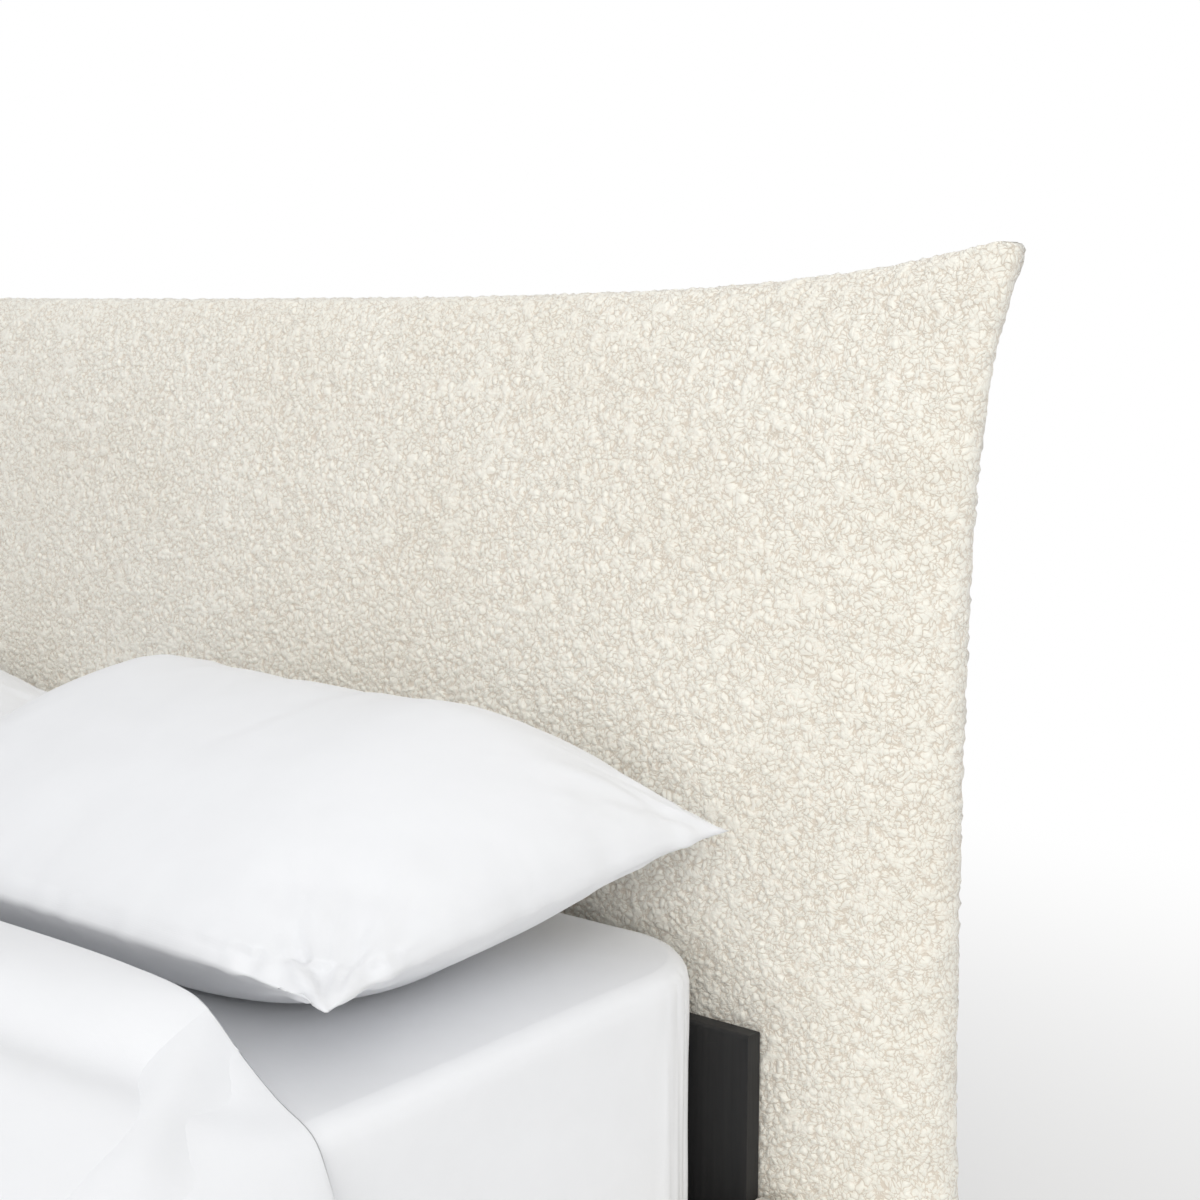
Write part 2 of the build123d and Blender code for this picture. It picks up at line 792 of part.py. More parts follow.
def main():
    os.makedirs("parts", exist_ok=True)
    sides = (("left", -1), ("right", 1))

    core = cushion_form(headboard_cover_thickness)
    board = headboard_board()
    fixings = cushion_bolts() + tee_nuts()
    export_node("headboard_cover", drilled(cushion_form(0) - core, cushion_bolts()))
    export_node("headboard_foam", drilled(core - board, fixings))
    export_node("headboard_board", drilled(board, fixings))
    export_node("headboard_bolts", group(cushion_bolts() + arm_bolts()))
    export_node("headboard_tee_nuts", group(tee_nuts()))
    export_node("post_glides", group(glides_at(post_glide_places())))
    export_node("head_panel", head_panel())
    export_node("foot_rail", foot_rail())
    export_node("foot_rail_foam", foot_foam())
    export_node("foot_rail_cover", foot_cover())
    for name, side in sides:
        export_node("headboard_post_" + name, post(side))
        export_node("headboard_arm_" + name, arm(side))
        export_node("side_rail_" + name, side_rail(side))
        export_node("side_rail_foam_" + name, side_foam_rounded(side))
        export_node("side_rail_cover_" + name, side_cover(side))
        export_node("slat_ledge_" + name, slat_ledge(side))
        export_node("foot_leg_" + name, foot_leg(side))
    export_node("foot_leg_glides", group(glides_at(leg_glide_places())))
    export_node("leg_bolts", group(leg_bolts()))
    export_node("corner_brackets", group([corner_bracket(side) for name, side in sides]))
    export_node("corner_bolts", group(corner_bolts()))
    export_node("ledge_screws", group(ledge_screws()))

    export_node("centre_beam", centre_beam())
    export_node("beam_hangers", group([beam_hanger(face_y, inward) for face_y, inward in beam_ends()]))
    export_node("beam_screws", group(hanger_screws() + flange_screws()))
    for index, y in enumerate(centre_leg_places()):
        export_node("centre_leg_" + str(index + 1), centre_leg(y))
        export_node("centre_leg_foot_" + str(index + 1), centre_foot(y))
    for index in range(slat_count):
        export_node("slat_" + str(index + 1).zfill(2), slat(index))
    export_node("slat_tapes", group(slat_tapes()))

    export_node("mattress", mattress_form(-sheet_thickness))
    export_node("fitted_sheet", fitted_sheet())
    duvet_filling = duvet_form(duvet_skin)
    export_node("duvet_filling", duvet_filling)
    export_node("duvet_cover", duvet_form(0) - duvet_filling)
    for name, side in sides:
        filling = pillow_form(side, pillow_skin)
        export_node("pillow_filling_" + name, filling)
        export_node("pillow_case_" + name, pillow_form(side, 0) - filling)


main()
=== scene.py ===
import json
import math

import bmesh
import bpy
import numpy as np
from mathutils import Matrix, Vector


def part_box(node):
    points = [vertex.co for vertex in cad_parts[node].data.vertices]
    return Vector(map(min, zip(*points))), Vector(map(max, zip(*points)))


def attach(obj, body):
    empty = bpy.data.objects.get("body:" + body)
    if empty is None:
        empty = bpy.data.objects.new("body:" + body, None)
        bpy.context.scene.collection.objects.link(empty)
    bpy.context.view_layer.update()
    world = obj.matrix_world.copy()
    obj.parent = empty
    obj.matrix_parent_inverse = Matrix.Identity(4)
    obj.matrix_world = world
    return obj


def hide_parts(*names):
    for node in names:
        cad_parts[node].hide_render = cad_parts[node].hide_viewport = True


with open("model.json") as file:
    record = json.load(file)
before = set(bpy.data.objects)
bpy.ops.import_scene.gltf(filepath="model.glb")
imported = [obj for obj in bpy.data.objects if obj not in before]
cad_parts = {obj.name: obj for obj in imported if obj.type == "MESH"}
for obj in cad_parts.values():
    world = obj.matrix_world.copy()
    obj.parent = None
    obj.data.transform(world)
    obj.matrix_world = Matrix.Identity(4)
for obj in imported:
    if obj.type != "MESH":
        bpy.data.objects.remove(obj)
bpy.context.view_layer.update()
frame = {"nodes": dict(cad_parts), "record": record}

# An upholstered bed: the looks of the headboard, base, mattress and bedding.
# Metres. X runs across the bed, Y towards the head end, Z up from the floor.


# ---- places read from the frame ----

sheet_low, sheet_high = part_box("fitted_sheet")
cushion_low, cushion_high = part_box("headboard_cover")
panel_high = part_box("head_panel")[1]
case_low, case_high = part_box("pillow_case_right")
duvet_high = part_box("duvet_cover")[1]
side_low, side_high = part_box("side_rail_cover_right")
foot_low, foot_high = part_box("foot_rail_cover")

mattress_back = sheet_high.y
mattress_top = sheet_high.z
mattress_right = sheet_high.x
mattress_middle = (sheet_high.y + sheet_low.y) / 2


# ---- random patterns ----

def hashed(places, seed):
    """An even random number from 0 to 1 for each whole-number place."""
    a = places.astype(np.uint64)
    n = a[:, 0] * np.uint64(73856093) ^ a[:, 1] * np.uint64(19349663) ^ a[:, 2] * np.uint64(83492791)
    n = n ^ np.uint64(seed * 2654435761 % 4294967296)
    n = (n ^ (n >> np.uint64(33))) * np.uint64(0xFF51AFD7ED558CCD)
    n = (n ^ (n >> np.uint64(29))) * np.uint64(0xC4CEB9FE1A85EC53)
    return (n >> np.uint64(11)).astype(float) / float(1 << 53)


def smooth_noise(points, size, seed):
    """A smooth random number from -1 to 1 at each point, varying over a distance of size."""
    base = np.floor(points / size).astype(np.int64)
    part = points / size - base
    part = part * part * (3 - 2 * part)
    total = np.zeros(len(points))
    for corner in np.ndindex(2, 2, 2):
        weight = np.abs(1 - np.array(corner) - part).prod(1)
        total += weight * hashed(base + corner, seed)
    return 2 * total - 1


# ---- meshes ----

def linked(name, data):
    """A new object in the scene."""
    item = bpy.data.objects.new(name, data)
    bpy.context.scene.collection.objects.link(item)
    return item


def mesh_piece(name, points, polygons):
    """A smooth-shaded mesh object. polygons is a list of equal-sized corner arrays."""
    mesh = bpy.data.meshes.new(name)
    mesh.vertices.add(len(points))
    mesh.vertices.foreach_set("co", np.asarray(points, np.float32).ravel())
    corners = np.concatenate([block.ravel() for block in polygons])
    sizes = np.concatenate([np.full(len(block), block.shape[1]) for block in polygons])
    starts = np.concatenate(([0], np.cumsum(sizes)[:-1]))
    mesh.loops.add(len(corners))
    mesh.loops.foreach_set("vertex_index", corners.astype(np.int32))
    mesh.polygons.add(len(sizes))
    mesh.polygons.foreach_set("loop_start", starts.astype(np.int32))
    mesh.update(calc_edges=True)
    mesh.validate()
    piece = linked(name, mesh)
    shade_smooth(piece)
    return piece


def grid_quads(rows, columns, first=0):
    """Quads of a grid of points stored row by row."""
    index = first + np.arange(rows * columns).reshape(rows, columns)
    quads = np.stack((index[:-1, :-1], index[:-1, 1:], index[1:, 1:], index[1:, :-1]), -1)
    return quads.reshape(-1, 4)


def grid_normals(points):
    """Unit normals of a grid of points, shaped rows by columns by 3."""
    along = np.gradient(points, axis=1)
    across = np.gradient(points, axis=0)
    normal = np.cross(along, across)
    return normal / np.maximum(np.linalg.norm(normal, axis=2, keepdims=True), 1e-12)


def store_places(piece, places):
    """Where each point of the cloth lay before its pile was raised, for its material."""
    layer = piece.data.attributes.new("cloth_place", "FLOAT_VECTOR", "POINT")
    layer.data.foreach_set("vector", np.asarray(places, np.float32).ravel())


def bake_layout(piece, coordinates):
    """The flat layout that the piece's finish is baked in, one coordinate pair per point."""
    corner = np.empty(len(piece.data.loops), np.int32)
    piece.data.loops.foreach_get("vertex_index", corner)
    layer = piece.data.uv_layers.new(name="OFBake")
    layer.data.foreach_set("uv", np.asarray(coordinates, np.float32)[corner].ravel())


def read_points(piece):
    points = np.empty(len(piece.data.vertices) * 3)
    piece.data.vertices.foreach_get("co", points)
    return points.reshape(-1, 3)


def set_points(piece, points):
    piece.data.vertices.foreach_set("co", points.ravel())


def vertex_normals(piece):
    normals = np.empty(len(piece.data.vertices) * 3)
    piece.data.vertex_normals.foreach_get("vector", normals)
    return normals.reshape(-1, 3)


def volume_of(piece):
    form = bmesh.new()
    form.from_mesh(piece.data)
    volume = abs(form.calc_volume())
    form.free()
    return volume


def shade_smooth(piece):
    piece.data.polygons.foreach_set("use_smooth", np.ones(len(piece.data.polygons), bool))


def keep_modified(piece):
    """Keeps the mesh as its modifiers make it."""
    shaped = piece.evaluated_get(bpy.context.evaluated_depsgraph_get())
    mesh = bpy.data.meshes.new_from_object(shaped)
    piece.modifiers.clear()
    old = piece.data
    piece.data = mesh
    bpy.data.meshes.remove(old)


def smooth_step(share):
    share = np.clip(share, 0, 1)
    return share * share * (3 - 2 * share)


# ---- materials ----

def new_material(name):
    material = bpy.data.materials.new(name)
    material.use_nodes = True
    tree = material.node_tree
    return material, tree, tree.nodes["Principled BSDF"]


def add_node(tree, kind, **settings):
    node = tree.nodes.new(kind)
    for key, value in settings.items():
        setattr(node, key, value)
    return node


def object_coordinates(tree):
    return add_node(tree, "ShaderNodeTexCoord").outputs["Object"]


def noise_node(tree, coordinates, scale, detail=2.0, roughness=0.5):
    node = add_node(tree, "ShaderNodeTexNoise")
    node.inputs["Scale"].default_value = scale
    node.inputs["Detail"].default_value = detail
    node.inputs["Roughness"].default_value = roughness
    tree.links.new(coordinates, node.inputs["Vector"])
    return node


def noise(tree, coordinates, scale, detail=2.0, roughness=0.5):
    return noise_node(tree, coordinates, scale, detail, roughness).outputs["Fac"]


def cells(tree, place, scale, feature):
    node = add_node(tree, "ShaderNodeTexVoronoi", feature=feature)
    node.inputs["Scale"].default_value = scale
    tree.links.new(place, node.inputs["Vector"])
    return node.outputs["Distance"]


def bands(tree, place, direction, scale, distortion=0.0):
    node = add_node(tree, "ShaderNodeTexWave", bands_direction=direction)
    node.inputs["Scale"].default_value = scale
    node.inputs["Distortion"].default_value = distortion
    tree.links.new(place, node.inputs["Vector"])
    return node.outputs["Fac"]


def ramped(tree, value, stops):
    """The colour that a value has on a ramp of stops."""
    node = add_node(tree, "ShaderNodeValToRGB")
    ramp = node.color_ramp
    while len(ramp.elements) < len(stops):
        ramp.elements.new(0.5)
    for element, (position, colour) in zip(ramp.elements, stops):
        element.position = position
        element.color = (*colour, 1)
    tree.links.new(value, node.inputs["Fac"])
    return node.outputs["Color"]


def multiplied(tree, first, second):
    """One colour shaded by another."""
    node = add_node(tree, "ShaderNodeMix", data_type="RGBA", blend_type="MULTIPLY")
    node.inputs["Factor"].default_value = 1.0
    tree.links.new(first, node.inputs["A"])
    tree.links.new(second, node.inputs["B"])
    return node.outputs["Result"]


def tint(tree, shader, colour):
    tree.links.new(colour, shader.inputs["Base Color"])


def emboss(tree, shader, *layers):
    """Lays reliefs over each other; each is a height, its strength and its depth in metres."""
    normal = None
    for height, strength, depth in layers:
        node = add_node(tree, "ShaderNodeBump")
        node.inputs["Strength"].default_value = strength
        node.inputs["Distance"].default_value = depth
        tree.links.new(height, node.inputs["Height"])
        if normal is not None:
            tree.links.new(normal, node.inputs["Normal"])
        normal = node.outputs["Normal"]
    tree.links.new(normal, shader.inputs["Normal"])


def set_surface(shader, roughness, specular=0.5, sheen=0.0, sheen_roughness=0.5):
    shader.inputs["Roughness"].default_value = roughness
    shader.inputs["Specular IOR Level"].default_value = specular
    shader.inputs["Sheen Weight"].default_value = sheen
    shader.inputs["Sheen Roughness"].default_value = sheen_roughness


def vector_math(tree, operation, first, second):
    """A vector sum or product; second may be a socket or three plain numbers."""
    node = add_node(tree, "ShaderNodeVectorMath", operation=operation)
    tree.links.new(first, node.inputs[0])
    if isinstance(second, tuple):
        node.inputs[1].default_value = second
    else:
        tree.links.new(second, node.inputs[1])
    return node.outputs["Vector"]


def number_math(tree, operation, *values):
    """A sum, product or blend of numbers; each may be a socket or a plain number."""
    node = add_node(tree, "ShaderNodeMath", operation=operation)
    for slot, value in enumerate(values):
        if isinstance(value, (int, float)):
            node.inputs[slot].default_value = value
        else:
            tree.links.new(value, node.inputs[slot])
    return node.outputs[0]


def less(tree, first, second):
    return number_math(tree, "SUBTRACT", first, second)


def times(tree, first, second):
    return number_math(tree, "MULTIPLY", first, second)


def smooth_range(tree, value, low, high):
    """0 below low, 1 above high and a soft step between."""
    node = add_node(tree, "ShaderNodeMapRange", interpolation_type="SMOOTHSTEP")
    node.inputs["From Min"].default_value = low
    node.inputs["From Max"].default_value = high
    tree.links.new(value, node.inputs["Value"])
    return node.outputs["Result"]


def shifted(tree, place, scale, amount):
    """Places moved about by a noise, so that what is drawn on them turns irregular."""
    wander = noise_node(tree, place, scale, 1.0).outputs["Color"]
    centred = vector_math(tree, "SUBTRACT", wander, (0.5, 0.5, 0.5))
    return vector_math(tree, "ADD", place, vector_math(tree, "MULTIPLY", centred, (amount, amount, amount)))


CURLS_PER_METRE = 190.0
FOLDS_PER_METRE = 370.0


def curls(tree, place):
    """Curly pile as nodes: the sharp pattern, and a softer one that a mesh can follow.

    Both are 1 on top of a curl and 0 in the crevices between curls. The third is each
    curl's roundness, 0 in its middle.
    """
    wormy = shifted(tree, shifted(tree, place, 62.0, 0.014), 230.0, 0.0055)
    border = cells(tree, wormy, CURLS_PER_METRE, "DISTANCE_TO_EDGE")
    middle = cells(tree, wormy, CURLS_PER_METRE, "F1")
    small = cells(tree, shifted(tree, wormy, 420.0, 0.002), FOLDS_PER_METRE, "DISTANCE_TO_EDGE")
    depth = smooth_range(tree, noise(tree, place, 85.0, 1.0), 0.26, 0.52)
    crevice = less(tree, 1.0, smooth_range(tree, border, 0.0, 0.15))
    openness = number_math(tree, "MULTIPLY_ADD", depth, 0.72, 0.28)
    open_crevice = times(tree, crevice, openness)
    fold = less(tree, 1.0, smooth_range(tree, small, 0.0, 0.22))
    dome = less(tree, 1.0, times(tree, middle, 0.55))
    lowered = less(tree, dome, times(tree, open_crevice, 0.60))
    sharp = less(tree, lowered, times(tree, fold, 0.24))
    wide = less(tree, 1.0, smooth_range(tree, border, 0.0, 0.34))
    hollow = times(tree, times(tree, wide, depth), 0.5)
    return sharp, less(tree, dome, hollow), middle


def pile_heights(points):
    """The softer curl pattern at each point, from the same nodes as the material."""
    mesh = bpy.data.meshes.new("pattern")
    mesh.vertices.add(len(points))
    mesh.vertices.foreach_set("co", np.asarray(points, np.float32).ravel())
    item = linked("pattern", mesh)
    tree = bpy.data.node_groups.new("pattern", "GeometryNodeTree")
    tree.interface.new_socket("Geometry", in_out="INPUT", socket_type="NodeSocketGeometry")
    tree.interface.new_socket("Geometry", in_out="OUTPUT", socket_type="NodeSocketGeometry")
    enter = add_node(tree, "NodeGroupInput")
    leave = add_node(tree, "NodeGroupOutput")
    keep = add_node(tree, "GeometryNodeStoreNamedAttribute", data_type="FLOAT", domain="POINT")
    keep.inputs["Name"].default_value = "pile"
    soft = curls(tree, add_node(tree, "GeometryNodeInputPosition").outputs[0])[1]
    tree.links.new(enter.outputs[0], keep.inputs["Geometry"])
    tree.links.new(soft, keep.inputs["Value"])
    tree.links.new(keep.outputs["Geometry"], leave.inputs[0])
    item.modifiers.new("pattern", "NODES").node_group = tree
    shaped = item.evaluated_get(bpy.context.evaluated_depsgraph_get())
    heights = np.empty(len(points), np.float32)
    shaped.data.attributes["pile"].data.foreach_get("value", heights)
    bpy.data.objects.remove(item)
    bpy.data.meshes.remove(mesh)
    bpy.data.node_groups.remove(tree)
    return heights.astype(float)


def boucle_material():
    """Ivory curly pile: painted warm shade in the crevices, pale curl tops and fine fuzz."""
    material, tree, shader = new_material("boucle")
    place = add_node(tree, "ShaderNodeAttribute", attribute_name="cloth_place").outputs["Vector"]
    sharp, _, middle = curls(tree, place)
    strand = noise(tree, place, 700.0, 3.0, 0.6)
    # Painted shade: the colour runs from pale ivory on the curl tops to warm brown deep in the crevices
    # between curls, where shade falls.
    painted_shade_height = number_math(tree, "MULTIPLY_ADD", strand, 0.24, sharp)
    stops = (
        (0.02, (0.755, 0.685, 0.59)),
        (0.25, (0.885, 0.835, 0.745)),
        (0.50, (0.935, 0.910, 0.828)),
        (0.95, (0.965, 0.954, 0.878)),
    )
    pile = ramped(tree, less(tree, painted_shade_height, 0.12), stops)
    blotch = ramped(tree, noise(tree, place, 7.0, 3.0), ((0.3, (0.965, 0.955, 0.94)), (0.7, (1.0, 1.0, 1.0))))
    tint(tree, shader, multiplied(tree, pile, blotch))
    rounded = number_math(tree, "MULTIPLY_ADD", middle, -0.3, sharp)
    emboss(tree, shader, (rounded, 0.45, 0.0020), (strand, 0.35, 0.0010))
    set_surface(shader, 0.95, specular=0.15, sheen=0.42, sheen_roughness=0.6)
    return material


# ---- headboard cover ----

SEAM_DIP = 0.053
SIDE_DIP_RUN = 0.095
LEVEL_DIP_RUN = 0.170
EAR_TRIM = 0.0095
EAR_ROUND = 0.024
EAR_CALM = 0.6
CROWN = 0.088
BACK_DEPTH = 0.030
BACK_GAP = 0.002
SEAM_HALF = 0.004
PRESSED = 0.064
PANEL_FADE = 0.12
EASE = 0.004
FRONT_SIDE_RUN = 0.34
FRONT_TOP_RUN = 0.46
FRONT_BOTTOM_RUN = 0.36
BACK_RUN = 0.07
BODY_HEIGHT = 0.0035
PULL_HEIGHT = 0.0050
PULL_REACH = 0.055
DROP_HEIGHT = 0.0014
DROP_REACH = 0.05
GATHER_FADE = 0.03
PILE_LEVEL = 0.62
PILE_DEPTH = 0.0034


def dip(distance, run, depth=SEAM_DIP):
    return depth * (1 - np.exp(-np.maximum(distance, 0) / run))


def swell(distance, run):
    """A filled cushion's rise from its seam to its crown."""
    share = np.clip(distance / run, 0, 1)
    return np.sqrt(1 - (1 - share) ** 2.0)


def cushion_plan(s, t):
    """Places across and up the cushion, and their distances from its side, top and bottom seams."""
    half_width = cushion_high.x + EAR_TRIM
    half_height = (cushion_high.z - cushion_low.z) / 2 + EAR_TRIM
    middle = (cushion_high.z + cushion_low.z) / 2
    reach_x = half_width - dip((1 - np.abs(t)) * half_height, SIDE_DIP_RUN)
    reach_z = half_height - dip((1 - np.abs(s)) * half_width, LEVEL_DIP_RUN)
    ear = 1 - EAR_ROUND * np.abs(s * t) ** 36
    x = s * reach_x * ear
    z = t * reach_z * ear
    return x, z + middle, reach_x - np.abs(x), reach_z - z, reach_z + z


def cushion_front(s, t):
    """A full crown, held back by the mattress lower down, with gathers along the seams."""
    x, z, side, top, bottom = cushion_plan(s, t)
    rise = swell(side, FRONT_SIDE_RUN) * swell(top, FRONT_TOP_RUN) * swell(bottom, FRONT_BOTTOM_RUN)
    depth = SEAM_HALF + (CROWN - SEAM_HALF) * rise
    limit = PRESSED + (CROWN - PRESSED) * smooth_step((z - panel_high.z) / PANEL_FADE)
    depth = limit - np.logaddexp(0, (limit - depth) / EASE) * EASE
    flat = np.stack((x, np.zeros_like(x), z), -1).reshape(-1, 3)
    body = smooth_noise(flat, 0.33, 5).reshape(x.shape)
    depth += BODY_HEIGHT * body * rise
    pulls = smooth_noise(flat * np.array((0.28, 1, 1)), 0.026, 6).reshape(x.shape)
    depth += PULL_HEIGHT * pulls * np.exp(-side / PULL_REACH) * swell(side, GATHER_FADE)
    drops = smooth_noise(flat * np.array((1, 1, 0.28)), 0.030, 7).reshape(x.shape)
    level = np.minimum(top, bottom)
    depth += DROP_HEIGHT * drops * np.exp(-level / DROP_REACH) * swell(level, GATHER_FADE)
    return np.stack((x, cushion_high.y - BACK_DEPTH - depth, z), -1)


def cushion_back(s, t):
    x, z, side, top, bottom = cushion_plan(s, t)
    rise = swell(side, BACK_RUN) * swell(top, BACK_RUN) * swell(bottom, BACK_RUN)
    depth = SEAM_HALF + (BACK_DEPTH - BACK_GAP - SEAM_HALF) * rise
    return np.stack((x, cushion_high.y - BACK_DEPTH + depth, z), -1)


def border(rows, columns, first):
    """Point numbers round the edge of a grid, in order."""
    index = first + np.arange(rows * columns).reshape(rows, columns)
    return np.concatenate((index[0, :-1], index[:-1, -1], index[-1, :0:-1], index[:0:-1, 0]))


def headboard_cover():
    """One closed cover: a fine front, a coarser back, and a seam band between them."""
    rows, columns = ((228, 436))
    fine_rows, fine_columns = 2 * rows - 1, 2 * columns - 1
    points, places, layout = [], [], []
    halves = ((cushion_front, -1, fine_rows, fine_columns, 0.75), (cushion_back, 1, rows, columns, 0.25))
    for shape, facing, up, across, shelf in halves:
        s, t = np.meshgrid(np.linspace(-1, 1, across), np.linspace(-1, 1, up))
        grid = shape(s, t)
        normal = grid_normals(grid)
        normal = normal * facing * np.sign(normal[up // 2, across // 2, 1])
        flat = grid.reshape(-1, 3)
        relief = (pile_heights(flat) - PILE_LEVEL) * PILE_DEPTH * (1 - EAR_CALM * np.abs(s * t).ravel() ** 14)
        points.append(flat + normal.reshape(-1, 3) * relief[:, None])
        places.append(flat)
        layout.append(np.stack((0.5 + 0.49 * s, shelf + 0.24 * t), -1).reshape(-1, 2))
    front_count = fine_rows * fine_columns
    outer = border(fine_rows, fine_columns, 0)
    inner = border(rows, columns, front_count)
    here = np.arange(len(inner))
    following = (here + 1) % len(inner)
    seam = (outer[2 * here], outer[2 * here + 1], outer[2 * following], inner[following], inner[here])
    back_quads = grid_quads(rows, columns, front_count)[:, ::-1]
    polygons = [grid_quads(fine_rows, fine_columns), back_quads, np.stack(seam, -1)[:, ::-1]]
    cover = mesh_piece("headboard_pillow_cover", np.concatenate(points), polygons)
    store_places(cover, np.concatenate(places))
    bake_layout(cover, np.concatenate(layout))
    cover.data.materials.append(boucle)
    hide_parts("headboard_cover", "headboard_foam")
    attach(cover, "frame")


# ---- cloth simulation ----

def obstacle(name, low, high, radius, plan_radius=0.0):
    """A rounded block that simulated cloth comes to rest on."""
    form = bmesh.new()
    bmesh.ops.create_cube(form, size=1)
    size = Vector(high) - Vector(low)
    bmesh.ops.scale(form, vec=size, verts=form.verts)
    bmesh.ops.translate(form, vec=(Vector(low) + Vector(high)) / 2, verts=form.verts)
    if plan_radius:
        upright = [e for e in form.edges if abs(e.verts[0].co.z - e.verts[1].co.z) > size.z / 2]
        bmesh.ops.bevel(form, geom=upright, offset=plan_radius, segments=8, profile=0.5, affect="EDGES")
    top = [e for e in form.edges if min(v.co.z for v in e.verts) > high[2] - 1e-5]
    bmesh.ops.bevel(form, geom=top, offset=radius, segments=4, profile=0.5, affect="EDGES")
    mesh = bpy.data.meshes.new(name)
    form.to_mesh(mesh)
    form.free()
    item = linked(name, mesh)
    item.modifiers.new("collision", "COLLISION")
    item.collision.thickness_outer = 0.002
    item.collision.cloth_friction = 12
    item.collision.use_culling = False
    return item


def weight_group(piece, name, weights):
    group = piece.vertex_groups.new(name=name)
    for level in np.unique(np.round(weights, 2)):
        members = np.nonzero(np.round(weights, 2) == level)[0]
        group.add(members.tolist(), float(level), "REPLACE")
    return group.name


def simulate(piece, obstacles, steps, volume, pressure, mass, stretch, bend, gravity, held, slack=None):
    """Lets the cloth settle and keeps its last shape as the mesh.

    held gives how firmly each point stays put, and slack is a pair: how much longer the
    cloth is than its starting shape, and each point's share of that.
    """
    scene = bpy.context.scene
    cloth = piece.modifiers.new("cloth", "CLOTH")
    settings = cloth.settings
    settings.quality = 6
    settings.mass = mass
    settings.air_damping = 2.0
    settings.tension_stiffness = stretch
    settings.compression_stiffness = stretch
    settings.shear_stiffness = stretch / 3
    settings.bending_stiffness = bend
    for strain in ("tension", "compression", "shear"):
        setattr(settings, strain + "_damping", 8)
    settings.use_pressure = True
    settings.use_pressure_volume = True
    settings.target_volume = volume
    settings.uniform_pressure_force = 0
    settings.pressure_factor = pressure
    settings.effector_weights.gravity = gravity
    settings.vertex_group_mass = weight_group(piece, "held", held)
    settings.pin_stiffness = 1.0
    if slack is not None:
        settings.vertex_group_shrink = weight_group(piece, "slack", slack[1])
        settings.shrink_min = 0.0
        settings.shrink_max = -slack[0]
    cloth.collision_settings.use_collision = bool(obstacles)
    cloth.collision_settings.distance_min = 0.003
    cloth.collision_settings.collision_quality = 3
    cloth.point_cache.frame_start = 1
    cloth.point_cache.frame_end = steps + 1
    for step in range(1, steps + 1):
        scene.frame_set(step)
    shaped = piece.evaluated_get(bpy.context.evaluated_depsgraph_get())
    settled = read_points(shaped)
    piece.modifiers.remove(cloth)
    set_points(piece, settled)
    piece.data.update()
    piece.vertex_groups.clear()
    scene.frame_set(1)
    for item in obstacles:
        bpy.data.objects.remove(item)
    return settled


def two_layers(name, across, along, spacing, puff, place):
    """Two equal layers of cloth joined round their edges, puffed apart a little in the middle."""
    columns = max(3, round(across / spacing)) + 1
    rows = max(3, round(along / spacing)) + 1
    s, t = np.meshgrid(np.linspace(-1, 1, columns), np.linspace(-1, 1, rows))
    rise = puff * ((1 - s ** 4) * (1 - t ** 4)) ** 0.5
    upper = np.stack((s * across / 2, t * along / 2, rise), -1).reshape(-1, 3)
    lower = upper * np.array((1, 1, -1))
    inside = np.ones((rows, columns), bool)
    inside[[0, -1], :] = False
    inside[:, [0, -1]] = False
    number = np.arange(rows * columns).reshape(rows, columns)
    number[inside] = rows * columns + np.arange(inside.sum())
    points = np.concatenate((upper, lower[inside.ravel()])) + np.asarray(place)
    lower_quads = np.stack((number[:-1, :-1], number[1:, :-1], number[1:, 1:], number[:-1, 1:]), -1)
    return mesh_piece(name, points, [grid_quads(rows, columns), lower_quads.reshape(-1, 4)])


def refine(piece, levels):
    """Splits the faces smoothly and keeps the finer mesh."""
    finer = piece.modifiers.new("finer", "SUBSURF")
    finer.levels = levels
    finer.render_levels = levels
    keep_modified(piece)
    shade_smooth(piece)


def cotton_material(name, colour):
    """Smooth white percale: a fine weave, faint press marks with painted shade in their hollows, and a soft
    sheen.
    """
    material, tree, shader = new_material(name)
    place = object_coordinates(tree)
    warp, weft = (bands(tree, place, direction, 320.0, 0.6) for direction in "XY")
    creases = noise(tree, place, 14.0, 5.0, 0.6)
    emboss(tree, shader, (creases, 0.10, 0.008), (number_math(tree, "ADD", warp, weft), 0.05, 0.0004))
    # Painted shade: the white turns a little darker in the hollows of the press marks.
    hollow = tuple(0.975 * part for part in colour)
    tint(tree, shader, ramped(tree, creases, ((0.3, hollow), (0.7, colour))))
    set_surface(shader, 0.82, specular=0.25, sheen=0.12, sheen_roughness=0.45)
    return material


# ---- pillows ----

CASE_FLAT = (0.75, 0.50)
CASE_FILLED = (0.712, 0.457)
CASE_DIP = 0.016
CASE_DIP_RUN = 0.055
CASE_RUN = 0.200
CASE_FAR_RUN = 0.158
CASE_FRONT_RUN = 0.300
CASE_BACK_RUN = 0.150
CASE_BELLY_RUN = 0.260
CASE_GIVE = 0.25
CASE_CROWN = 0.121
CASE_BELLY = 0.110
CASE_SEAM = 0.0935
CASE_TILT = 0.059
CASE_CLEAR = 0.0065
CASE_GAP = 0.0015
CORNER_REACH = 0.10
CORNER_PINNED = 0.012
CASE_SLACK = 0.05
FAN_HEIGHT = 0.0044
FAN_REACH = 0.15
BROAD_HEIGHT = 0.0016
BUMP_HEIGHT = 0.0006
PUCKER_HEIGHT = 0.0022
PUCKER_REACH = 0.028


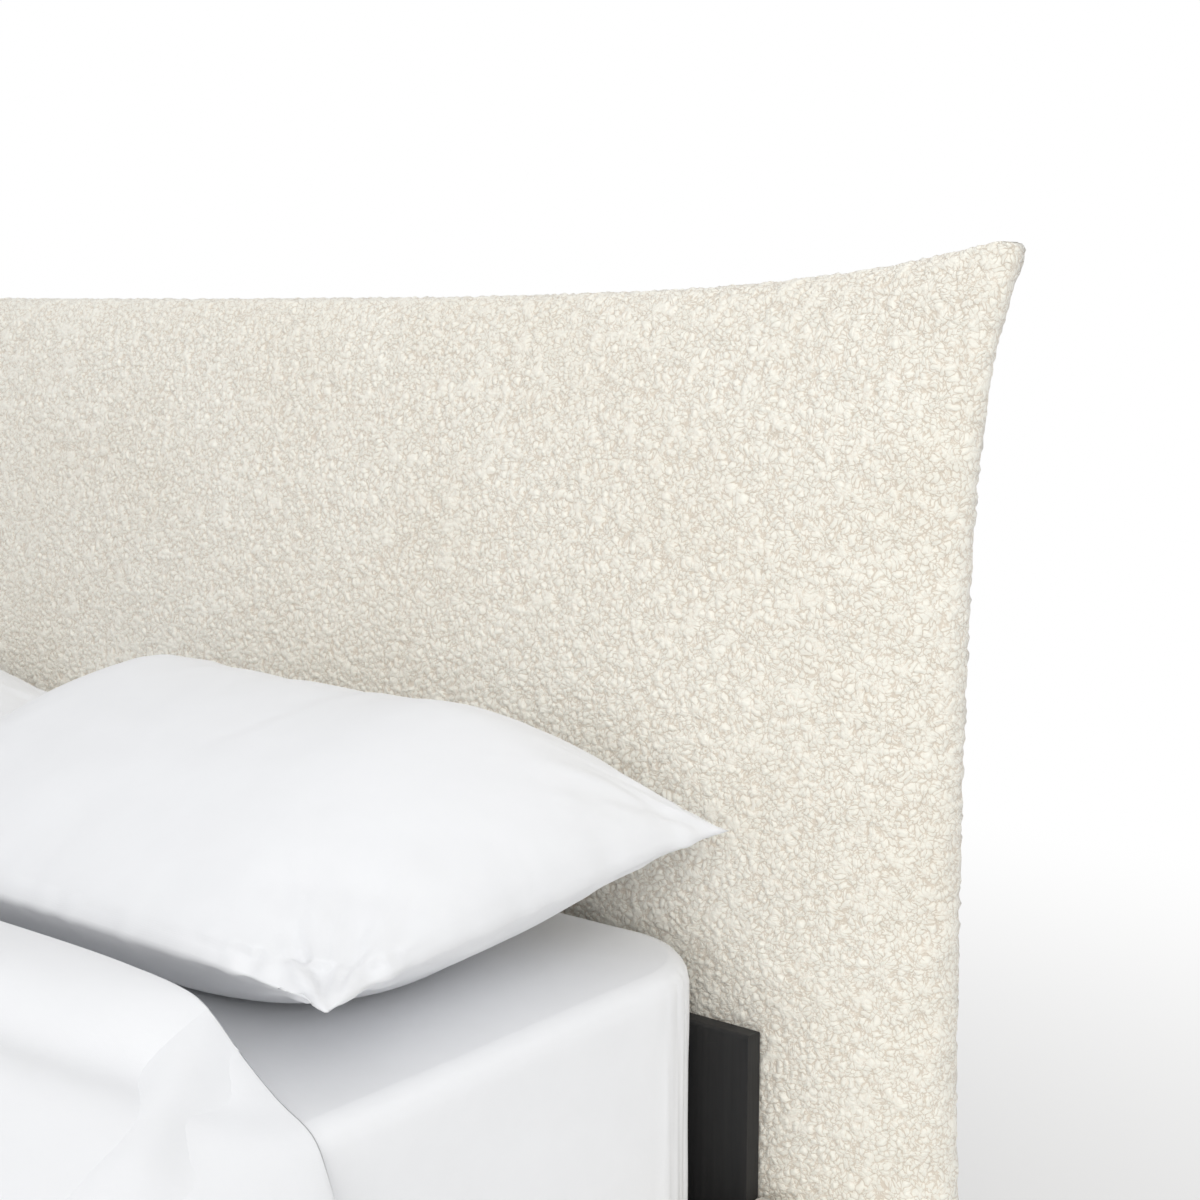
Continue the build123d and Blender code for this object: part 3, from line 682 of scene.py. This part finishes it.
def filled_case(points, upper_count):
    """The filled pillow's shape for two flat layers: seam at mid height, full crown, flattened belly."""
    half_x, half_y = CASE_FILLED[0] / 2, CASE_FILLED[1] / 2
    s, t = points[:, 0] / (CASE_FLAT[0] / 2), points[:, 1] / (CASE_FLAT[1] / 2)
    s = 0.7 * s + 0.3 * np.sin(s * math.pi / 2)
    t = 0.7 * t + 0.3 * np.sin(t * math.pi / 2)
    reach_x = half_x - dip((1 - np.abs(t)) * half_y, CASE_DIP_RUN, CASE_DIP)
    reach_y = half_y - dip((1 - np.abs(s)) * half_x, CASE_DIP_RUN, CASE_DIP)
    x, y = s * reach_x, t * reach_y
    in_x = np.clip((reach_x - np.abs(x)) / np.where(x < 0, CASE_FAR_RUN, CASE_RUN), 0, 1)
    in_front = np.clip((reach_y + y) / CASE_FRONT_RUN, 0, 1)
    in_back = np.clip((reach_y - y) / CASE_BACK_RUN, 0, 1)
    lengthwise = np.sin(in_front * math.pi / 2) ** 0.78 * np.sin(in_back * math.pi / 2) ** 0.5
    crown = np.sin(in_x * math.pi / 2) ** 0.56 * lengthwise
    under_x = np.clip((reach_x - np.abs(x)) / CASE_BELLY_RUN, 0, 1)
    under_y = np.clip((reach_y - np.abs(y)) / CASE_RUN, 0, 1)
    belly = np.sin(under_x * math.pi / 2) ** 0.8 * np.sin(under_y * math.pi / 2) ** 0.8
    upper = np.arange(len(points)) < upper_count
    z = CASE_SEAM + CASE_TILT * y + np.where(upper, CASE_CROWN * crown, -CASE_BELLY * belly)
    z = CASE_CLEAR + np.logaddexp(0, (z - CASE_CLEAR) / EASE) * EASE
    return np.stack((x, y, z), -1)


def pillow(word, seed):
    """A filled pillowcase: two sewn layers with a little slack at their corners, let settle."""
    spacing = 0.0080
    steps = 16
    piece = two_layers("pillow_" + word + "_case", CASE_FLAT[0], CASE_FLAT[1], spacing, 0.035, (0, 0, 0))
    columns = max(3, round(CASE_FLAT[0] / spacing)) + 1
    rows = max(3, round(CASE_FLAT[1] / spacing)) + 1
    points = filled_case(read_points(piece), rows * columns)
    bumps = smooth_noise(points, 0.05, seed) + 0.5 * smooth_noise(points, 0.022, seed + 1)
    corner_x = np.abs(np.abs(points[:, 0]) - CASE_FILLED[0] / 2)
    corner_y = np.abs(np.abs(points[:, 1]) - CASE_FILLED[1] / 2)
    corner = np.exp(-((np.hypot(corner_x, corner_y) / CORNER_REACH) ** 2))
    edge = np.exp(-(np.minimum(corner_x, corner_y) / 0.05))
    held = (np.hypot(corner_x, corner_y) < CORNER_PINNED) * 1.0
    seam = np.zeros(len(points), bool)
    seam[border(rows, columns, 0)] = True
    held = np.where(seam, np.maximum(held, 0.35), held)
    points[:, 2] += np.where(seam, 0, BUMP_HEIGHT * bumps)
    set_points(piece, points)
    piece.data.update()
    slack = np.clip(0.05 + 0.7 * corner + 0.25 * edge, 0, 1)
    rest = obstacle("mattress_form", (-1, -1, -0.3), (1, 1, 0.0), 0.01)
    volume = 1.03 * volume_of(piece)
    settled = simulate(piece, [rest], steps, volume, 300.0, 0.3, 60.0, 0.02, 0.3, held, (CASE_SLACK, slack))
    set_points(piece, points + CASE_GIVE * (settled - points))
    sharpen(piece, seam, 0.9)
    refine(piece, 1)
    crease(piece, seed + 5)
    return piece


def sharpen(piece, members, amount):
    """Keeps the edges between the chosen points crisp when the mesh is refined."""
    ends = np.empty(len(piece.data.edges) * 2, np.int32)
    piece.data.edges.foreach_get("vertices", ends)
    both = members[ends.reshape(-1, 2)].all(1)
    layer = piece.data.attributes.new("crease_edge", "FLOAT", "EDGE")
    layer.data.foreach_set("value", np.where(both, amount, 0).astype(np.float32))


def crease(piece, seed):
    """Creases that fan out of the corners and short puckers across the seams."""
    points = read_points(piece)
    normal = vertex_normals(piece)
    half_x, half_y = CASE_FILLED[0] / 2, CASE_FILLED[1] / 2
    from_x, from_y = half_x - np.abs(points[:, 0]), half_y - np.abs(points[:, 1])
    reach = np.hypot(from_x, from_y)
    turn = np.arctan2(from_y, from_x)
    which = np.sign(points[:, 0]) * 7 + np.sign(points[:, 1]) * 3 + np.sign(points[:, 2] - CASE_SEAM) * 11
    fan = smooth_noise(np.stack((turn * 1.9, reach * 3.0, which), 1), 0.20, seed)
    fan += 0.5 * smooth_noise(np.stack((turn * 1.9, reach * 4.0, which), 1), 0.09, seed + 1)
    lift = FAN_HEIGHT * fan * np.exp(-((reach / FAN_REACH) ** 2)) * smooth_step(reach / 0.05)
    along = np.where(from_x < from_y, points[:, 1], points[:, 0])
    inward = np.minimum(from_x, from_y).clip(0)
    pucker = smooth_noise(np.stack((along, inward * 0.22, which), 1), 0.017, seed + 2)
    lift += PUCKER_HEIGHT * pucker * np.exp(-inward / PUCKER_REACH) * smooth_step(inward / 0.006)
    broad = smooth_noise(points * (1.0, 0.45, 1.0), 0.085, seed + 3)
    lift += BROAD_HEIGHT * broad * smooth_step(inward / 0.05)
    lift *= smooth_step((points[:, 2] - 0.010) / 0.02)
    set_points(piece, points + normal * lift[:, None])
    piece.data.update()


def place_pillows():
    """The right pillow as simulated, and a left one turned about and a little flatter."""
    piece = pillow("right", 71)
    points = read_points(piece)
    middle = (Vector(case_low) + Vector(case_high)) / 2
    twin = linked("pillow_left_case", piece.data.copy())
    places = (
        (piece, "right", (1, 1, 1), middle.x + 0.001),
        (twin, "left", (-1, 1, 0.80), -middle.x - 0.040),
    )
    for item, word, turn, x in places:
        y = case_high.y - points[:, 1].max()
        z = mattress_top + CASE_GAP - points[:, 2].min()
        set_points(item, points * turn + (x, y, z))
        if word == "left":
            item.data.flip_normals()
        item.data.update()
        item.data.materials.clear()
        item.data.materials.append(pillow_cotton)
        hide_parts("pillow_case_" + word, "pillow_filling_" + word)
        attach(item, "pillow_" + word)


# ---- duvet ----

DUVET_FLAT = (1.88, 1.77)
DUVET_PUFF = 0.048


def duvet():
    """A filled duvet dropped over the mattress, so that its sides and foot hang down."""
    spacing = 0.026
    steps = 60
    head_y = duvet_high.y + 0.004
    seam_z = mattress_top + 0.073
    place = (0, head_y - DUVET_FLAT[1] / 2, seam_z)
    piece = two_layers("duvet", DUVET_FLAT[0], DUVET_FLAT[1], spacing, DUVET_PUFF, place)
    points = read_points(piece)
    at_head = (points[:, 1] > head_y - 0.004) & (np.abs(points[:, 0]) < mattress_right - 0.09)
    near_head = (points[:, 1] > head_y - 0.13) & (np.abs(points[:, 0]) < mattress_right - 0.12)
    held = np.where(at_head, 1.0, np.where(near_head, 0.25, 0.0))
    low, high = (-mattress_right, sheet_low.y, 0.30), (mattress_right, mattress_back, mattress_top)
    bed = obstacle("mattress_form", low, high, 0.024, 0.10)
    left_low, left_high = (-side_high.x, foot_low.y, side_low.z), (-side_low.x, side_high.y, side_high.z)
    rails = [
        obstacle("rail_form_right", (side_low.x, foot_low.y, side_low.z), side_high, 0.010),
        obstacle("rail_form_left", left_low, left_high, 0.010),
        obstacle("rail_form_foot", foot_low, foot_high, 0.010),
    ]
    simulate(piece, [bed] + rails, steps, 0.95 * volume_of(piece), 60.0, 0.4, 25.0, 0.6, 1.0, held)
    refine(piece, 2)
    piece.data.materials.append(duvet_cotton)
    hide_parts("duvet_cover", "duvet_filling")
    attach(piece, "duvet")


# ---- base rail covers ----

def rounded_path(corners, radii, spacing):
    """Points along straight runs joined by arcs, at an even spacing."""
    points = [np.array(corners[0], float)]
    for before, corner, after, radius in zip(corners[:-2], corners[1:-1], corners[2:], radii):
        before, corner, after = (np.array(v, float) for v in (before, corner, after))
        enter = (before - corner) / np.linalg.norm(before - corner)
        leave = (after - corner) / np.linalg.norm(after - corner)
        half_turn = math.acos(float(np.clip(-enter @ leave, -1, 1))) / 2
        setback = radius * math.tan(half_turn)
        centre = corner + (enter + leave) / np.linalg.norm(enter + leave) * radius / math.cos(half_turn)
        start = corner + enter * setback - centre
        steps = max(3, int(2 * half_turn * radius / spacing * 1.5))
        side = corner + leave * setback - centre
        for step in range(steps + 1):
            share = step / steps
            blend = start * math.sin((1 - share) * 2 * half_turn) + side * math.sin(share * 2 * half_turn)
            points.append(centre + blend / math.sin(2 * half_turn))
    points.append(np.array(corners[-1], float))
    path = np.array(points)
    length = np.concatenate(([0], np.cumsum(np.linalg.norm(np.diff(path, axis=0), axis=1))))
    count = max(2, round(length[-1] / spacing)) + 1
    even = np.linspace(0, length[-1], count)
    return np.stack([np.interp(even, length, path[:, axis]) for axis in range(path.shape[1])], 1)


RAIL_SPACING = 0.0045
RAIL_EDGE = 0.010
INNER_EDGE = 0.004
TUCKED_IN = 0.056
TURNED_UNDER = 0.036
FOOT_TURN = 0.044
FOOT_CORNER = 0.019
FABRIC = 0.004


def cover_piece(name, grid, node):
    """A boucle skin from a grid of points, displaced into pile and given its thickness."""
    normal = grid_normals(grid).reshape(-1, 3)
    flat = grid.reshape(-1, 3)
    inward = np.array((0, (foot_low.y + sheet_high.y) / 2, (side_low.z + side_high.z) / 2)) - flat
    if (normal * inward).sum() > 0:
        normal = -normal
    points = flat + normal * ((pile_heights(flat) - PILE_LEVEL) * PILE_DEPTH)[:, None]
    rows, columns = grid.shape[:2]
    piece = mesh_piece(name, points, [grid_quads(rows, columns)])
    store_places(piece, flat)
    u, v = np.meshgrid(np.linspace(0.01, 0.99, columns), np.linspace(0.01, 0.99, rows))
    bake_layout(piece, np.stack((u, v), -1).reshape(-1, 2))
    skin = piece.modifiers.new("skin", "SOLIDIFY")
    skin.thickness = FABRIC
    sample = np.array(piece.data.polygons[len(piece.data.polygons) // 2].normal)
    faces_out = sample @ normal[len(normal) // 2] > 0
    skin.offset = -1 if faces_out else 1
    keep_modified(piece)
    if not faces_out:
        piece.data.flip_normals()
    piece.data.materials.append(boucle)
    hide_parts(node)
    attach(piece, "frame")


def side_rail_covers():
    """Fabric over each side rail, tucked in along its inner face and under its lower edge."""
    top, bottom = side_high.z, side_low.z
    outer = side_high.x
    inner = side_low.x
    under = outer - TURNED_UNDER
    corners = ((inner, top - TUCKED_IN), (inner, top), (outer, top), (outer, bottom), (under, bottom))
    profile = rounded_path(corners, (INNER_EDGE, RAIL_EDGE, RAIL_EDGE), RAIL_SPACING)
    rows = round((side_high.y - side_low.y) / RAIL_SPACING)
    y = np.linspace(side_low.y + 0.001, side_high.y - 0.001, rows)
    for side, word in ((1, "right"), (-1, "left")):
        grid = np.empty((rows, len(profile), 3))
        grid[:, :, 0] = side * profile[None, :, 0]
        grid[:, :, 1] = y[:, None]
        grid[:, :, 2] = profile[None, :, 1]
        bulge = 0.0025 * np.sin(np.pi * np.clip((profile[:, 1] - bottom) / (top - bottom), 0, 1))
        outside = profile[:, 0] > outer - 0.002
        grid[:, :, 0] += side * np.where(outside, bulge, 0)[None, :]
        cover_piece("side_rail_cover_" + word + "_boucle", grid, "side_rail_cover_" + word)


def foot_rail_cover():
    """Fabric round the front, top and ends of the foot rail."""
    half_width = foot_high.x
    front, back = foot_low.y, side_low.y
    top, bottom = foot_high.z, foot_low.z
    corners = ((half_width, back), (half_width, front), (-half_width, front), (-half_width, back))
    plan = rounded_path(corners, (FOOT_CORNER, FOOT_CORNER), RAIL_SPACING)
    inner = -FOOT_TURN
    corners = ((inner, bottom), (0, bottom), (0, top), (inner, top), (inner, top - TUCKED_IN))
    profile = rounded_path(corners, (RAIL_EDGE, RAIL_EDGE, INNER_EDGE), RAIL_SPACING)
    target = np.stack((plan[:, 0] * 0.955, np.full(len(plan), back)), 1)
    depth = -profile[:, 0] / FOOT_TURN
    spot = plan[:, None, :] * (1 - depth[None, :, None]) + target[:, None, :] * depth[None, :, None]
    grid = np.concatenate((spot, np.broadcast_to(profile[None, :, 1:2], (len(plan), len(profile), 1))), 2)
    cover_piece("foot_rail_cover_boucle", grid.copy(), "foot_rail_cover")


# ---- mattress and fitted sheet ----

MATTRESS_CORNER = 0.100
MATTRESS_EDGE = 0.017
SHEET_THICKNESS = 0.0008
SHEET_GATHER = 0.0016
SHEET_WAVE = 0.0010
SHEET_PULL = 0.0006


def uneven(half, fine, coarse, zone):
    """Places from -half to half, closer together within a zone at each end."""
    outer = np.linspace(0, zone, max(2, round(zone / fine)) + 1)
    inner_count = max(2, round((2 * half - 2 * zone) / coarse)) + 1
    inner = np.linspace(-half + zone, half - zone, inner_count)[1:-1]
    return np.concatenate((-half + outer, inner, half - outer[::-1]))


def rounded_plan(half_x, half_y, radius, fine, coarse):
    """A grid that fills a rectangle with round corners."""
    x, y = np.meshgrid(uneven(half_x, fine, coarse, radius), uneven(half_y, fine, coarse, radius))
    a = np.clip((np.abs(x) - half_x + radius) / radius, 0, 1)
    b = np.clip((np.abs(y) - half_y + radius) / radius, 0, 1)
    corner = (a > 0) & (b > 0)
    new_x = np.sign(x) * (half_x - radius + radius * a * np.sqrt(1 - b * b / 2))
    new_y = np.sign(y) * (half_y - radius + radius * b * np.sqrt(1 - a * a / 2))
    return np.where(corner, new_x, x), np.where(corner, new_y, y)


def ring_quads(first, second):
    """Quads between two rings of equally many points."""
    return np.stack((first, second, np.roll(second, -1), np.roll(first, -1)), -1)


def block_skin(inset, turn_under, fine, coarse):
    """Skin of the mattress block, drawn in by inset: its top, its sides and a rim turned under it.

    Gives its points, its quads and the numbers of the rim's last points.
    """
    half = np.array((sheet_high.x - sheet_low.x, sheet_high.y - sheet_low.y)) / 2 - inset
    radius = MATTRESS_CORNER - inset
    flat = half - MATTRESS_EDGE
    top = sheet_high.z - inset
    bottom = sheet_low.z + inset
    x, y = rounded_plan(flat[0], flat[1], radius - MATTRESS_EDGE, fine, coarse)
    points = [np.stack((x, y + mattress_middle, np.full_like(x, top)), -1).reshape(-1, 3)]
    quads = [grid_quads(*x.shape)]
    ring = border(*x.shape, 0)
    rim = np.stack((x, y), -1).reshape(-1, 2)[ring]
    outward = rim - np.clip(rim, radius - half, half - radius)
    outward = outward / np.linalg.norm(outward, axis=1, keepdims=True)
    edge = MATTRESS_EDGE
    corners = ((0.0, top), (edge, top), (edge, bottom), (edge - turn_under, bottom))
    drop = rounded_path(corners, (edge, edge), 0.010)
    for offset, z in drop[1:]:
        spot = rim + outward * offset
        if offset < MATTRESS_EDGE - radius:
            spot = rim * ((flat + offset) / flat)
        following = sum(len(block) for block in points) + np.arange(len(ring))
        points.append(np.column_stack((spot + (0, mattress_middle), np.full(len(ring), z))))
        quads.append(ring_quads(ring, following))
        ring = following
    return np.concatenate(points), quads, ring


def corner_closeness(points):
    """1 at the mattress's upright corners and 0 away from them."""
    dx = np.abs(points[:, 0]) - (sheet_high.x - 0.03)
    dy = np.abs(points[:, 1] - mattress_middle) - ((sheet_high.y - sheet_low.y) / 2 - 0.03)
    return np.exp(-(dx ** 2 + dy ** 2) / 0.085 ** 2)


def fitted_sheet():
    """Cotton stretched over the mattress, gathered at its corners and turned under it."""
    fine, coarse = ((0.0028, 0.013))
    points, quads, _ = block_skin(0.0012, 0.150, fine, coarse)
    sheet = mesh_piece("fitted_sheet_cotton", points, [corners[:, ::-1] for corners in quads])
    normal = vertex_normals(sheet)
    if normal[0, 2] < 0:
        sheet.data.flip_normals()
        normal = -normal
    near = corner_closeness(points)
    depth = np.clip((sheet_high.z - points[:, 2]) / (sheet_high.z - sheet_low.z), 0, 1)
    along = points[:, 1] - mattress_middle
    past_x = np.abs(points[:, 0]) - sheet_high.x + MATTRESS_CORNER
    past_y = np.abs(along) - sheet_high.y + mattress_middle + MATTRESS_CORNER
    turn = np.arctan2(past_y, past_x) * np.sign(points[:, 0])
    round_corner = np.stack((turn * 9, depth * 0.7, np.sign(along) * 4), 1)
    gathers = smooth_noise(round_corner, 0.55, 61) + 0.5 * smooth_noise(round_corner, 0.25, 62)
    side = smooth_step(depth / 0.10)
    broad = smooth_noise(points * np.array((1, 1, 0.5)), 0.16, 63)
    pulls = smooth_noise(points @ np.array(((0.8, 0.25, 0), (0.6, -0.9, 0), (0, 0, 1))), 0.05, 64)
    lift = SHEET_GATHER * gathers * near * side + SHEET_WAVE * broad * (1 - near * 0.5)
    lift += SHEET_PULL * pulls * near
    set_points(sheet, points + normal * lift[:, None])
    skin = sheet.modifiers.new("skin", "SOLIDIFY")
    skin.thickness = SHEET_THICKNESS
    skin.offset = -1
    keep_modified(sheet)
    shade_smooth(sheet)
    sheet.data.materials.append(sheet_cotton)
    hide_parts("fitted_sheet")
    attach(sheet, "mattress")


def mattress():
    """The mattress under the sheet: a block of quilted ticking, closed underneath."""
    points, quads, rim = block_skin(0.0045, 0.20, 0.012, 0.022)
    edge = points[rim]
    centre = edge.mean(0)
    for share in (0.7, 0.4, 0.12):
        ring = len(points) + np.arange(len(rim))
        points = np.concatenate((points, centre + (edge - centre) * share))
        quads.append(ring_quads(rim, ring))
        rim = ring
    hub = np.full(len(rim), len(points))
    points = np.concatenate((points, centre[None, :]))
    quads.append(np.stack((rim, hub, np.roll(rim, -1)), -1))
    body = mesh_piece("mattress_quilted", points, [corners[:, ::-1] for corners in quads])
    if vertex_normals(body)[0, 2] < 0:
        body.data.flip_normals()
    body.data.materials.append(ticking)
    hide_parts("mattress")
    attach(body, "mattress")


# ---- materials of the frame ----

def wood_material(name, colours, along, ring_scale, roughness, coat=0.0):
    """Planed wood with long grain along one axis, darker lines and fine pores."""
    material, tree, shader = new_material(name)
    stretch = add_node(tree, "ShaderNodeMapping")
    stretch.inputs["Scale"].default_value = tuple(0.05 if axis == along else 1.0 for axis in range(3))
    tree.links.new(object_coordinates(tree), stretch.inputs["Vector"])
    place = stretch.outputs["Vector"]
    figure = noise_node(tree, place, ring_scale, 4.0, 0.55)
    figure.inputs["Distortion"].default_value = 1.2
    pores = noise(tree, place, ring_scale * 14, 3.0, 0.6)
    grain = ramped(tree, figure.outputs["Fac"], tuple(zip((0.28, 0.5, 0.72), colours)))
    shade = ramped(tree, pores, ((0.35, (0.86, 0.86, 0.86)), (0.55, (1.0, 1.0, 1.0))))
    tint(tree, shader, multiplied(tree, grain, shade))
    emboss(tree, shader, (pores, 0.25, 0.0008))
    set_surface(shader, roughness)
    shader.inputs["Coat Weight"].default_value = coat
    return material


def metal_material(name, dark, pale, roughness, metallic=1.0, scale=60.0):
    """Plated or powder-coated steel, or moulded plastic, mottled and finely textured."""
    material, tree, shader = new_material(name)
    place = object_coordinates(tree)
    patch = noise(tree, place, scale, 4.0, 0.6)
    tint(tree, shader, ramped(tree, patch, ((0.35, dark), (0.65, pale))))
    emboss(tree, shader, (noise(tree, place, scale * 25), 0.15, 0.0003))
    rough = add_node(tree, "ShaderNodeMapRange")
    rough.inputs["To Min"].default_value = roughness - 0.08
    rough.inputs["To Max"].default_value = roughness + 0.10
    tree.links.new(patch, rough.inputs["Value"])
    tree.links.new(rough.outputs["Result"], shader.inputs["Roughness"])
    shader.inputs["Metallic"].default_value = metallic
    return material


def foam_material():
    """Cut upholstery foam with open cells, each with painted shade in its hollow."""
    material, tree, shader = new_material("foam")
    holes = cells(tree, object_coordinates(tree), 450.0, "F1")
    # Painted shade: each cell's colour darkens towards its sunken middle.
    tint(tree, shader, ramped(tree, holes, ((0.1, (0.72, 0.66, 0.46)), (0.5, (0.86, 0.82, 0.66)))))
    emboss(tree, shader, (holes, 0.5, 0.0008))
    set_surface(shader, 0.95)
    return material


def webbing_material():
    """Black woven tape with a diagonal rib, with painted shade in the grooves between the ribs."""
    material, tree, shader = new_material("webbing")
    rib = bands(tree, object_coordinates(tree), "DIAGONAL", 260.0)
    # Painted shade: the tape is darker in the grooves and lighter on the ribs.
    tint(tree, shader, ramped(tree, rib, ((0.2, (0.012, 0.012, 0.013)), (0.8, (0.05, 0.05, 0.052)))))
    emboss(tree, shader, (rib, 0.5, 0.0006))
    set_surface(shader, 0.8)
    return material


def ticking_material():
    """White knitted ticking quilted in diamonds, with painted grey shade along the sunken quilting lines."""
    material, tree, shader = new_material("mattress_ticking")
    place = object_coordinates(tree)
    turned = add_node(tree, "ShaderNodeMapping")
    turned.inputs["Rotation"].default_value = (0, 0, math.radians(45))
    tree.links.new(place, turned.inputs["Vector"])
    pad = ((0.0, (0, 0, 0)), (0.5, (0.9, 0.9, 0.9)), (1.0, (1, 1, 1)))
    rows = [ramped(tree, bands(tree, turned.outputs["Vector"], direction, 2.6), pad) for direction in "XY"]
    quilt = number_math(tree, "MINIMUM", *rows)
    emboss(tree, shader, (quilt, 0.8, 0.006), (noise(tree, place, 900.0), 0.25, 0.0006))
    # Painted shade: the white turns grey along the quilting's sunken lines.
    tint(tree, shader, ramped(tree, quilt, ((0.0, (0.66, 0.66, 0.65)), (0.3, (0.86, 0.86, 0.85)))))
    set_surface(shader, 0.9)
    return material


def dress_frame():
    """Gives every CAD node that stays in view its finish."""
    across = 0
    lengthwise = 1
    upright = 2
    # Near-black wood for the frame's dark parts; where the head panel shows beside the mattress, under the
    # cushion's belly, it is what looks black there.
    black = ((0.010, 0.010, 0.011), (0.016, 0.016, 0.017), (0.026, 0.025, 0.025))
    birch = ((0.62, 0.44, 0.25), (0.74, 0.56, 0.35), (0.82, 0.66, 0.44))
    ply = ((0.55, 0.39, 0.22), (0.66, 0.50, 0.31), (0.74, 0.58, 0.39))
    pine = ((0.60, 0.40, 0.19), (0.76, 0.57, 0.33), (0.84, 0.67, 0.43))
    woods = (
        ("black_wood", black, upright, 26.0, 0.62),
        ("plywood", ply, lengthwise, 22.0, 0.7),
        ("pine", pine, lengthwise, 30.0, 0.6),
        ("slat_birch", birch, across, 34.0, 0.45, 0.15),
    )
    metals = (
        ("zinc_steel", (0.50, 0.50, 0.47), (0.68, 0.68, 0.66), 0.34),
        ("zinc_plate", (0.46, 0.46, 0.44), (0.62, 0.62, 0.60), 0.42),
        ("black_steel", (0.018, 0.018, 0.019), (0.03, 0.03, 0.031), 0.5, 0.0, 90.0),
        ("nylon", (0.03, 0.03, 0.03), (0.05, 0.05, 0.05), 0.55, 0.0, 40.0),
    )
    finishes = {look[0]: wood_material(*look) for look in woods}
    finishes.update({look[0]: metal_material(*look) for look in metals})
    finishes["foam"] = foam_material()
    finishes["webbing"] = webbing_material()
    slots = {entry["node"]: entry["material_slot"] for entry in frame["record"]["subparts"]}
    for name, node in frame["nodes"].items():
        finish = finishes.get(slots[name])
        if finish is None:
            continue
        node.data.materials.clear()
        node.data.materials.append(finish)


boucle = boucle_material()
pillow_cotton = cotton_material("pillow_cotton", (0.855, 0.865, 0.89))
duvet_cotton = cotton_material("duvet_cotton", (0.855, 0.865, 0.89))
# Painted light: the fitted sheet's white is lighter than the pillows' and the duvet's, to brighten the
# mattress top where it lies in the pillow's shade.
sheet_cotton = cotton_material("sheet_cotton", (0.89, 0.90, 0.925))
ticking = ticking_material()
headboard_cover()
side_rail_covers()
foot_rail_cover()
mattress()
fitted_sheet()
dress_frame()
place_pillows()
duvet()


# ---- stage ----

def stage():
    scene = bpy.context.scene
    scene.view_settings.view_transform = "Standard"
    world = bpy.data.worlds.new("studio")
    world.use_nodes = True
    tree = world.node_tree
    background = tree.nodes["Background"]
    background.inputs["Color"].default_value = (1.0, 1.0, 1.0, 1)
    seen = add_node(tree, "ShaderNodeLightPath")
    strength = add_node(tree, "ShaderNodeMapRange")
    strength.inputs["To Min"].default_value = 0.60
    strength.inputs["To Max"].default_value = 1.0
    tree.links.new(seen.outputs["Is Camera Ray"], strength.inputs["Value"])
    tree.links.new(strength.outputs["Result"], background.inputs["Strength"])
    scene.world = world

    floor_mesh = bpy.data.meshes.new("floor")
    reach = 30.0
    corners = [(-reach, -reach, 0), (reach, -reach, 0), (reach, reach, 0), (-reach, reach, 0)]
    floor_mesh.from_pydata(corners, [], [(0, 1, 2, 3)])
    floor = linked("floor", floor_mesh)
    material, tree, shader = new_material("pale_floor")
    shader.inputs["Base Color"].default_value = (0.84, 0.84, 0.84, 1)
    shader.inputs["Roughness"].default_value = 0.7
    place = object_coordinates(tree)
    length = add_node(tree, "ShaderNodeVectorMath", operation="LENGTH")
    tree.links.new(place, length.inputs[0])
    far = smooth_range(tree, length.outputs["Value"], 0.9, 3.6)
    watched = add_node(tree, "ShaderNodeLightPath").outputs["Is Camera Ray"]
    glow = add_node(tree, "ShaderNodeEmission")
    blend = add_node(tree, "ShaderNodeMixShader")
    tree.links.new(times(tree, far, watched), blend.inputs["Fac"])
    tree.links.new(shader.outputs["BSDF"], blend.inputs[1])
    tree.links.new(glow.outputs["Emission"], blend.inputs[2])
    tree.links.new(blend.outputs["Shader"], tree.nodes["Material Output"].inputs["Surface"])
    floor_mesh.materials.append(material)


def soft_light(name, place, target, size, power, colour):
    data = bpy.data.lights.new(name, "AREA")
    data.shape = "SQUARE"
    data.size = size
    data.energy = power
    data.color = colour
    lamp = linked(name, data)
    lamp.location = place
    lamp.rotation_euler = (Vector(target) - Vector(place)).to_track_quat("-Z", "Y").to_euler()


def camera():
    """Level with the headboard's top, beyond the mattress's right side, looking left to the head end."""
    data = bpy.data.cameras.new("camera")
    data.sensor_width = 36.0
    data.lens = 58.64
    view = linked("camera", data)
    view.location = (mattress_right + 0.911, mattress_back - 1.305, mattress_top + 0.535)
    yaw = math.radians(39.08)
    pitch = math.radians(-8.53)
    forward = Vector((-math.sin(yaw) * math.cos(pitch), math.cos(yaw) * math.cos(pitch), math.sin(pitch)))
    view.rotation_euler = forward.to_track_quat("-Z", "Y").to_euler()
    bpy.context.scene.camera = view


stage()
soft_light("key", (3.5, -2.1, 3.0), (0.2, 0.9, 0.7), 2.6, 77, (1.0, 0.993, 0.965))
soft_light("fill", (2.4, -2.6, 1.0), (0.4, 0.9, 0.7), 1.8, 13, (1.0, 0.985, 0.96))
soft_light("top", (0.6, 0.4, 3.6), (0.3, 0.9, 0.7), 3.0, 17, (1.0, 1.0, 1.0))
camera()
